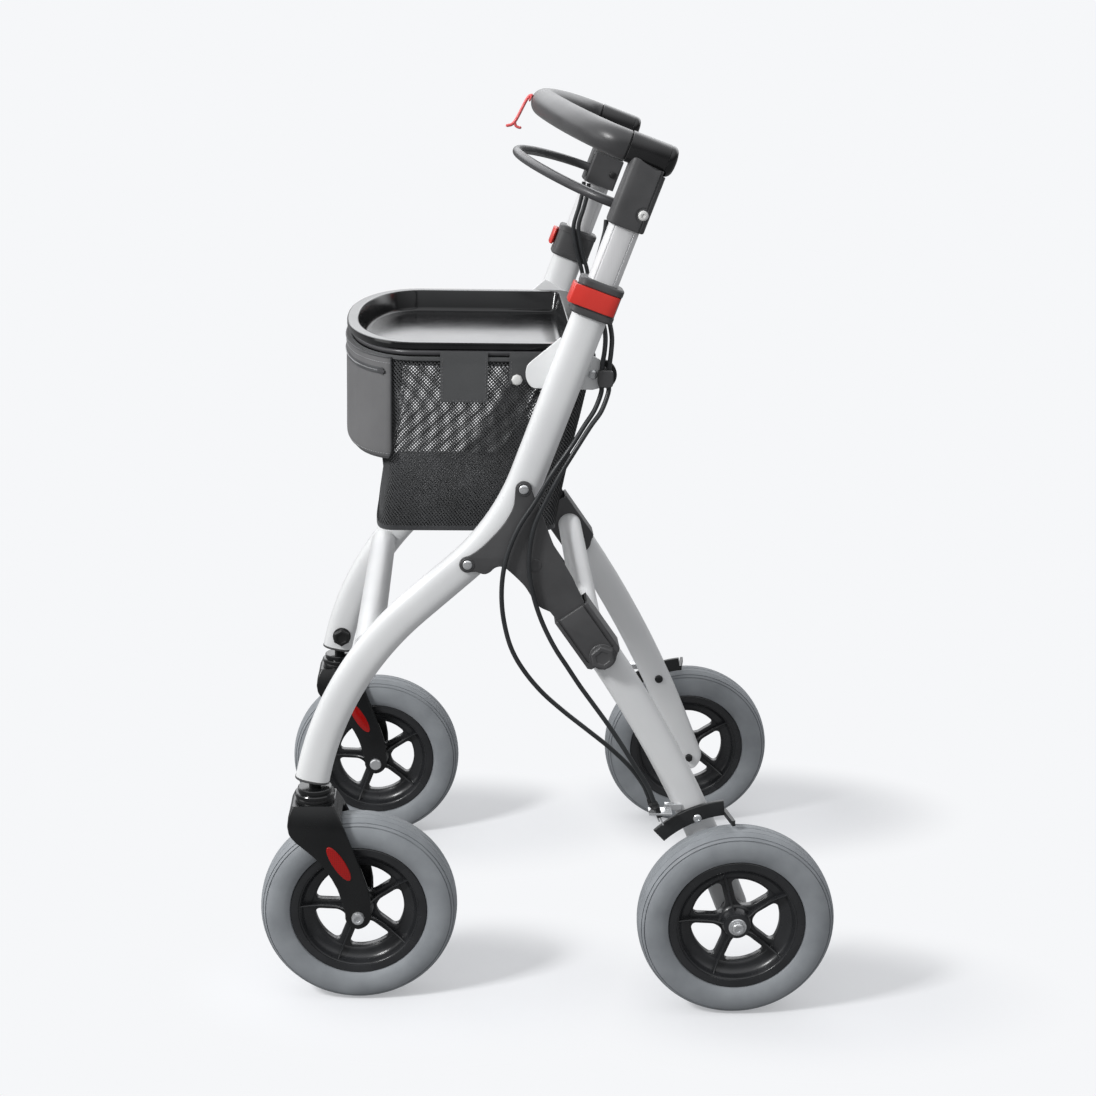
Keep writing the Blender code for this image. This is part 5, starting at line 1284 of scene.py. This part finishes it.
def plan_outline(half, front, rear, power=2.2, inset=0.0):
    """A plan of (x, y) from the rear's middle round the left and front to the middle again."""
    front_steps, corner_steps = 96, 10
    half, front, rear = half - inset, front + inset, rear - inset
    corner = max(18.0 - inset, 4.0)
    points = [(0.0, rear)]
    points += arc((half - corner, rear - corner), corner, 90, 0, corner_steps)
    for i in range(front_steps + 1):
        p = front_point(math.pi * i / front_steps, half, front, power)
        points.append((p.x, p.y))
    points += arc((corner - half, rear - corner), corner, 180, 90, corner_steps)
    return points + [(0.0, rear)]


def basket_row(z, count, inset=0.0):
    """Even places round the basket at a height, from the rear's middle."""
    flat = [(x, y, 0.0) for x, y in plan_outline(*basket_size(z), inset=inset)]
    return [Vector((p.x, p.y, z)) for p in even_points(flat, count + 1)[:count]]


def lay_out(mesh, uvs):
    """Give each corner of a mesh's faces its place on the flat cloth, in metres."""
    layer = mesh.uv_layers.new(name="cloth")
    for corner, uv in zip(layer.data, uvs):
        corner.uv = uv


def cloth_sheet(name, rows, wrap=False):
    """Dark cloth sewn to the basket, on rows of points, its UV map laid out along and up."""
    count = len(rows[0])
    middle = rows[len(rows) // 2]
    along = [s * MM for s in running(middle + middle[:1])]
    up = [s * MM for s in running([row[0] for row in rows])]
    faces, uvs = [], []
    for j in range(len(rows) - 1):
        for i in range(count if wrap else count - 1):
            k = (i + 1) % count
            faces.append((j * count + i, j * count + k, (j + 1) * count + k, (j + 1) * count + i))
            uvs += [(along[i], up[j]), (along[i + 1], up[j]), (along[i + 1], up[j + 1]),
                    (along[i], up[j + 1])]
    mesh = bpy.data.meshes.new(name)
    mesh.from_pydata([p * MM for row in rows for p in row], [], faces)
    lay_out(mesh, uvs)
    piece = bpy.data.objects.new(name, mesh)
    shell = piece.modifiers.new("thickness", "SOLIDIFY")
    shell.thickness = CLOTH_THICKNESS * MM
    shell.offset = -1.0
    carry_out(piece)
    place_piece(piece, "dark_cloth", "basket")


def band_round(line, section):
    """A closed band round a level line, with a section of (outward, up) points."""
    rings = []
    for i, spot in enumerate(line):
        way = line[(i + 1) % len(line)] - line[i - 1]
        out = Vector((way.y, -way.x, 0.0)).normalized()
        rings.append([spot + out * a + Vector((0.0, 0.0, b)) for a, b in section])
    return skin(rings, True)


def make_net():
    """The see-through sides: two families of threads that cross at every 4.4 mm diamond."""
    heights = [NET_FOOT + (NET_TOP - NET_FOOT) * j / NET_STEPS for j in range(NET_STEPS + 1)]
    for label, lean, inset, stands_for in (("rising", 1, 0.9, ["basket"]),
                                           ("falling", -1, 1.7, ())):
        rows = [basket_row(z, NET_COLUMNS, inset) for z in heights]
        lines = [[row[(2 * k + lean * j) % NET_COLUMNS] for j, row in enumerate(rows)]
                 for k in range(NET_COLUMNS // 2)]
        add_threads(f"net_{label}", lines, NET_THREAD_R, 3, "net", "basket", stands_for)


def make_basket():
    """The basket: its board, the net, the foot's binding, the rim and the pouch."""
    make_net()
    floor = [[Vector((p.x, p.y, z)) for p in basket_row(486.0, BASKET_STEPS, inset)]
             for z, inset in ((483.0, 4.0), (482.2, 2.0), (484.0, 1.8), (486.0, 1.8), (486.4, 2.4))]
    add_piece("basket_board", [skin(floor)], "tape", "basket")
    fold = ((1.2, -2.2), (1.4, 0.0), (1.2, 2.2), (-1.0, 2.2), (-1.0, -2.2))
    binding = band_round(basket_row(484.2, BASKET_STEPS, 1.3), fold)
    add_piece("basket_binding", [binding], "tape", "basket", sharp=50.0)
    make_rim()
    make_patches()
    make_pouch()


def make_rim():
    """The wire rim, the tape that sews the net to it, and the stud on each side."""
    line = [Vector((p.x, p.y, RIM_Z)) for p in basket_row(BASKET_TOP, BASKET_STEPS, RIM_WIRE_R)]
    round_wire = arc((0.0, 0.0), RIM_WIRE_R, 0.0, 337.5, 15)
    add_piece("rim_wire", [band_round(line, round_wire)], "dip", "basket", ["basket_rim"])
    rows = [basket_row(z, BASKET_STEPS, inset)
            for z, inset in ((653.6, 0.4), (655.2, 0.2), (657.2, 0.6))]
    cloth_sheet("rim_tape", rows, wrap=True)
    stud = [(169.0, 3.0), (178.4, 3.0), (178.4, 4.9), (179.0, 5.3), (181.4, 5.3), (182.4, 4.6),
            (182.9, 3.4), (183.0, 0.6)]
    for name, side in SIDES:
        add_piece(f"basket_stud_{name}", [sideways(stud, BASKET_STUD, side, 8)], "white_nylon",
                  "basket")


def make_patches():
    """The sewn reinforcing patch and the strap tab on each side."""
    for name, side in SIDES:
        for label, y0, y1, z0 in (("side_patch", -109.0, -63.5, 613.0), ("tab", -43.0, 5.0, 632.0)):
            rows = []
            for z in [z0 + (662.5 - z0) * j / 10 for j in range(11)]:
                proud = basket_size(min(z, BASKET_TOP))[0] + (1.3 if z < NET_TOP else 1.9)
                row = [Vector((proud * side, y0 + (y1 - y0) * i / 12, z)) for i in range(13)]
                rows.append(row if side > 0 else row[::-1])
            cloth_sheet(f"{label}_{name}", rows)
            loop = [Vector(((basket_size(z)[0] + 1.5) * side, y, z))
                    for y, z in ((y0 + 2, 656.0), (y0 + 2, z0 + 2), (y1 - 2, z0 + 2),
                                 (y1 - 2, 656.0))]
            add_stitches(f"{label}_stitches_{name}", [loop], "cloth", "basket")


def pouch_place(share, half, front, power, z):
    """A place on a plan at a share of the way along the pouch, from its left end."""
    first = math.asin(((FRONT_CENTRE_Y - POUCH_END_Y) / (FRONT_CENTRE_Y - front)) ** (power / 2))
    return front_point(first + (math.pi - 2 * first) * share, half, front, power, z)


def pouch_outer(share, z):
    """The pouch's outer face: full in the middle, drawn in by the seams at both ends."""
    for low, high in zip(POUCH_FACE, POUCH_FACE[1:]):
        if z <= high[0] or high is POUCH_FACE[-1]:
            part = min(max((z - low[0]) / (high[0] - low[0]), 0.0), 1.0)
            half, front, power = [a + (b - a) * part for a, b in zip(low[1:], high[1:])]
            break
    near = min(share, 1 - share)
    drawn = 1.6 * (1 - min(1.0, near / 0.03)) ** 2
    sag = 0.7 * math.sin(9 * math.pi * share) * math.sin(math.pi * (z - POUCH_FOOT) / 100.0)
    return pouch_place(share, half - drawn - abs(sag), front + drawn + abs(sag), power, z)


def pouch_low(share, corner=12.0):
    """The pouch's lower edge, rounded up at both ends."""
    near = min(share, 1 - share) * POUCH_LENGTH
    if near >= corner:
        return POUCH_FOOT
    return POUCH_FOOT + corner - math.sqrt(corner ** 2 - (corner - near) ** 2)


def make_pouch():
    """The zipped pouch: a padded outer face with a back against the basket."""
    steps = 120
    shares = [0.5 - 0.5 * math.cos(math.pi * i / steps) for i in range(steps + 1)]
    rows = []
    for share in shares:
        low = pouch_low(share)
        section = [low + (POUCH_TOP - low) * (j / 24) ** 1.4 for j in range(25)]
        face = [pouch_outer(share, z) for z in section]
        back = []
        for z in section[::-1]:
            half, front, _, power = basket_size(z)
            back.append(pouch_place(share, half + 0.8, front - 0.8, power, min(z, 655.4)))
        rows.append(face + back)
    count = len(rows[0])
    middle = rows[steps // 2]
    points = [p * MM for row in rows for p in row]
    along = [s * MM for s in running([row[count // 4] for row in rows])]
    up = [s * MM for s in running(middle + middle[:1])]
    faces, uvs = [], []
    for i in range(steps):
        for j in range(count):
            k = (j + 1) % count
            faces.append((i * count + j, i * count + k, (i + 1) * count + k, (i + 1) * count + j))
            uvs += [(along[a], up[b]) for a, b in ((i, j), (i, j + 1), (i + 1, j + 1), (i + 1, j))]
    for cap in (range(count), range(steps * count, (steps + 1) * count)):
        faces.append(tuple(cap))
        uvs += [(points[v].x, points[v].z) for v in cap]
    mesh = bpy.data.meshes.new("pouch_bag")
    mesh.from_pydata(points, [], faces)
    lay_out(mesh, uvs)
    face_outwards(mesh)
    place_piece(bpy.data.objects.new("pouch_bag", mesh), "cloth", "basket", ["basket_pouch"])
    foot = [pouch_outer(share, pouch_low(share)) for share in shares]
    piping = [foot, [pouch_outer(share, PIPING_Z[1]) for share in shares]]
    heights = [PIPING_Z[0] + (PIPING_Z[1] - PIPING_Z[0]) * j / 20 for j in range(21)]
    for share, end in ((0.0, 0), (1.0, -1)):
        piping.append([foot[end], *[pouch_outer(share, z) for z in heights]])
    add_threads("pouch_piping", piping, 0.9, 8, "tape", "basket")
    seams = [[pouch_outer(share, z) + face_out(share, z) * 0.1 for share in shares[6:-6]]
             for z in (649.8, 561.5)]
    add_stitches("pouch_stitching", seams, "zip", "basket")
    make_zip()


def face_out(share, z):
    """Outwards from the pouch's outer face, level."""
    way = pouch_outer(min(share + 0.002, 1.0), z) - pouch_outer(max(share - 0.002, 0.0), z)
    return Vector((-way.y, way.x, 0.0)).normalized()


def make_zip():
    """The zip below the pouch's top band: two tapes, its coil, and a slider at each end."""
    spread = [0.045 + 0.91 * i / 140 for i in range(141)]
    tapes = []
    for z0, z1 in ((638.4, 641.3), (641.9, 644.8)):
        sections = []
        for share in spread:
            a, b, out = pouch_outer(share, z0), pouch_outer(share, z1), face_out(share, z0)
            sections.append([a - out * 0.6, a + out * 0.3, (a + b) / 2 + out * 0.8, b + out * 0.3,
                             b - out * 0.6])
        tapes.append(skin(sections))
    add_piece("zip_tapes", tapes, "tape", "basket", sharp=60.0)
    coil = [[pouch_outer(share, ZIP_Z) + face_out(share, ZIP_Z) * 0.5 for share in spread]]
    add_stitches("zip_coil", coil, "zip", "basket", pitch=1.6, length=1.0, radius=0.7)
    parts = []
    for share in (0.045, 0.955):
        spot, out = pouch_outer(share, ZIP_Z), face_out(share, ZIP_Z)
        level = out.cross(Vector((0, 0, 1)))
        for reach, half, low, high in ((1.5, 2.6, -2.9, 2.9), (2.3, 4.4, -1.2, 1.2)):
            outline = [spot + level * half * a + Vector((0, 0, low + (high - low) * b))
                       for a, b in ((-0.7, 0), (0.7, 0), (1, 0.12), (1, 0.88), (0.7, 1), (-0.7, 1),
                                    (-1, 0.88), (-1, 0.12))]
            parts.append(skin([[p + out * (reach - 1.0) for p in outline],
                               [p + out * reach for p in outline]]))
    add_piece("zip_sliders", parts, "dip", "basket")


def make_tray():
    """The polished tray: a flat-topped edge, steep walls and a shallow rounded floor."""
    stations = ((17.4, 645.5), (15.8, 645.9), (14.0, 647.2), (13.2, 649.0), (11.2, 664.2),
                (0.9, 664.2), (0.2, 664.6), (0.0, 665.4), (0.0, 669.2), (0.4, 670.3),
                (1.2, 670.8), (1.6, 670.8), (9.8, 670.8), (10.2, 670.8), (11.2, 670.4),
                (12.0, 669.2), (15.4, 652.6), (16.4, 650.2), (18.4, 648.6), (21.6, 648.0),
                (23.0, 648.0))
    rings = [[Vector((x, y, z)) for x, y in plan_outline(168.0, -206.0, 30.0, inset=inset)[:-1]]
             for inset, z in stations]
    add_piece("tray_moulding", [skin(rings)], "black_abs", "tray", ["tray"], sharp=30.0)


# Floor, lamps and camera

def make_floor():
    """A pale floor that shows the object's shadow near it and stays even farther away."""
    mesh = bpy.data.meshes.new("floor")
    mesh.from_pydata([(-60, -60, 0), (60, -60, 0), (60, 60, 0), (-60, 60, 0)], [], [(0, 1, 2, 3)])
    floor = bpy.data.objects.new("floor", mesh)
    bpy.context.collection.objects.link(floor)
    material = bpy.data.materials.new("pale_matt_floor")
    material.use_nodes = True
    tree = material.node_tree
    tree.nodes.clear()
    place = add_node(tree, "ShaderNodeTexCoord").outputs["Object"]
    spread = add_node(tree, "ShaderNodeVectorMath", {0: place, 1: SHADOW_SHAPE},
                      operation="MULTIPLY")
    nearest = None
    for track, axle_y in ((REAR_TRACK, REAR_AXLE_Y), (FRONT_TRACK, FRONT_AXLE_Y)):
        for _, side in SIDES:
            spot = (track * side + SHADOW_SHIFT[0], axle_y + SHADOW_SHIFT[1], 0.0)
            spot = tuple(a * MM * b for a, b in zip(spot, SHADOW_SHAPE))
            away = add_node(tree, "ShaderNodeVectorMath", {0: spread.outputs[0], 1: spot},
                            operation="DISTANCE").outputs["Value"]
            if nearest:
                away = add_node(tree, "ShaderNodeMath", {0: nearest, 1: away},
                                operation="MINIMUM").outputs[0]
            nearest = away
    fade = add_node(tree, "ShaderNodeMapRange",
                    {"Value": nearest, "From Min": SHADOW_FADE[0], "From Max": SHADOW_FADE[1]},
                    interpolation_type="SMOOTHSTEP")
    rays = add_node(tree, "ShaderNodeLightPath")
    seen = rays.outputs["Is Camera Ray"]
    matt = add_node(tree, "ShaderNodeBsdfDiffuse", {"Color": linear("d8d9db")})
    glow = add_node(tree, "ShaderNodeEmission", {"Color": linear("f9fafc"),
                                                 "Strength": FLOOR_LIFT})
    near = add_node(tree, "ShaderNodeAddShader", {0: matt.outputs[0], 1: glow.outputs[0]})
    even = add_node(tree, "ShaderNodeEmission", {"Color": linear("f6f7f9")})
    shown = add_node(tree, "ShaderNodeMixShader", {0: fade.outputs[0], 1: near.outputs[0],
                                                   2: even.outputs[0]})
    dark = add_node(tree, "ShaderNodeEmission", {"Color": linear("f6f7f9"),
                                                 "Strength": FLOOR_BOUNCE})
    mixed = add_node(tree, "ShaderNodeMixShader", {0: seen, 1: dark.outputs[0],
                                                   2: shown.outputs[0]})
    out = add_node(tree, "ShaderNodeOutputMaterial")
    tree.links.new(mixed.outputs[0], out.inputs["Surface"])
    mesh.materials.append(material)


def add_lamp(name, place, target, size, power):
    """A soft rectangular lamp that looks at a target, in metres and watts."""
    lamp = bpy.data.lights.new(name, "AREA")
    lamp.shape = "RECTANGLE"
    lamp.size, lamp.size_y = size
    lamp.energy = power
    holder = bpy.data.objects.new(name, lamp)
    holder.location = place
    holder.rotation_euler = (Vector(target) - Vector(place)).to_track_quat("-Z", "Y").to_euler()
    bpy.context.collection.objects.link(holder)


def make_light():
    """A soft room that looks pale to the camera, and that gloss sees as a studio with a panel."""
    world = bpy.data.worlds.new("soft_room")
    bpy.context.scene.world = world
    world.use_nodes = True
    tree = world.node_tree
    back = tree.nodes["Background"]
    back.inputs["Color"].default_value = linear("f6f7f9")
    way = add_node(tree, "ShaderNodeTexCoord").outputs["Generated"]
    parts = add_node(tree, "ShaderNodeSeparateXYZ", {0: way})
    spans = []
    for value, low, high, top in ((parts.outputs["Z"], 0.1, 0.9, ZENITH - HORIZON),
                                  (parts.outputs["Z"], 0.08, 0.2, PANEL),
                                  (parts.outputs["X"], -0.2, -0.8, 1.0)):
        spans.append(add_node(tree, "ShaderNodeMapRange",
                              {"Value": value, "From Min": low, "From Max": high, "To Max": top},
                              interpolation_type="SMOOTHSTEP").outputs[0])
    panel = add_node(tree, "ShaderNodeMath", {0: spans[1], 1: spans[2], 2: spans[0]},
                     operation="MULTIPLY_ADD")
    mirrored_room = add_node(tree, "ShaderNodeMath", {0: panel.outputs[0], 1: HORIZON})
    rays = add_node(tree, "ShaderNodeLightPath")
    plain = add_node(tree, "ShaderNodeMix", {"Factor": rays.outputs["Is Camera Ray"],
                                             "A": ROOM, "B": 1.0})
    level = add_node(tree, "ShaderNodeMix", {"Factor": rays.outputs["Is Glossy Ray"],
                                             "A": plain.outputs[0], "B": mirrored_room.outputs[0]})
    tree.links.new(level.outputs[0], back.inputs["Strength"])
    add_lamp("key_softbox", (1.3, -1.8, 2.0), (0.0, 0.0, 0.35), (0.45, 0.45), KEY_POWER)
    add_lamp("front_softbox", (0.3, -3.2, 1.2), (0.0, 0.0, 0.45), (2.2, 1.4), FRONT_POWER)


def make_camera():
    """A camera at the photograph's place, level and lens."""
    lens = bpy.data.cameras.new("camera")
    lens.sensor_width = SENSOR_MM
    lens.lens = FOCAL_LENGTH / PHOTO_WIDTH * SENSOR_MM
    lens.clip_end = 200.0
    camera = bpy.data.objects.new("camera", lens)
    flat = math.cos(CAMERA_FALL)
    ahead = Vector((-math.cos(CAMERA_BEARING) * flat, -math.sin(CAMERA_BEARING) * flat,
                    -math.sin(CAMERA_FALL)))
    level = ahead.cross(Vector((0, 0, 1))).normalized()
    above = level.cross(ahead)
    right = level * math.cos(CAMERA_ROLL) + above * math.sin(CAMERA_ROLL)
    up = above * math.cos(CAMERA_ROLL) - level * math.sin(CAMERA_ROLL)
    turn = Matrix((right, up, -ahead)).transposed().to_4x4()
    camera.matrix_world = Matrix.Translation(CAMERA_PLACE) @ turn
    bpy.context.collection.objects.link(camera)
    bpy.context.scene.camera = camera


finish = make_finishes()
threads = thread_tree()
stitches = stitch_tree()
make_cross_tubes()
for name, side in SIDES:
    make_side_tube(name, side)
    make_collar(name, side)
    make_lever(name, side)
    make_gusset(name, side)
    make_hinge_housing(name, side)
    make_hinge_bolt(name, side)
    make_caster_housing(name, side)
    make_basket_bracket(name, side)
    make_clip(name, side)
    make_cable(name, side, "front")
    make_cable(name, side, "rear")
    make_leg(name, side)
    make_adjuster(name, side)
    make_brake_bar(name, side)
    make_fork(name, side)
    make_wheel("rear", name, side, REAR_TRACK, REAR_AXLE_Y)
    make_wheel("front", name, side, FRONT_TRACK, FRONT_AXLE_Y)
make_handle()
make_brake_loop()
make_basket()
make_tray()
make_floor()
make_light()
make_camera()
bpy.context.scene.view_settings.view_transform = "Standard"
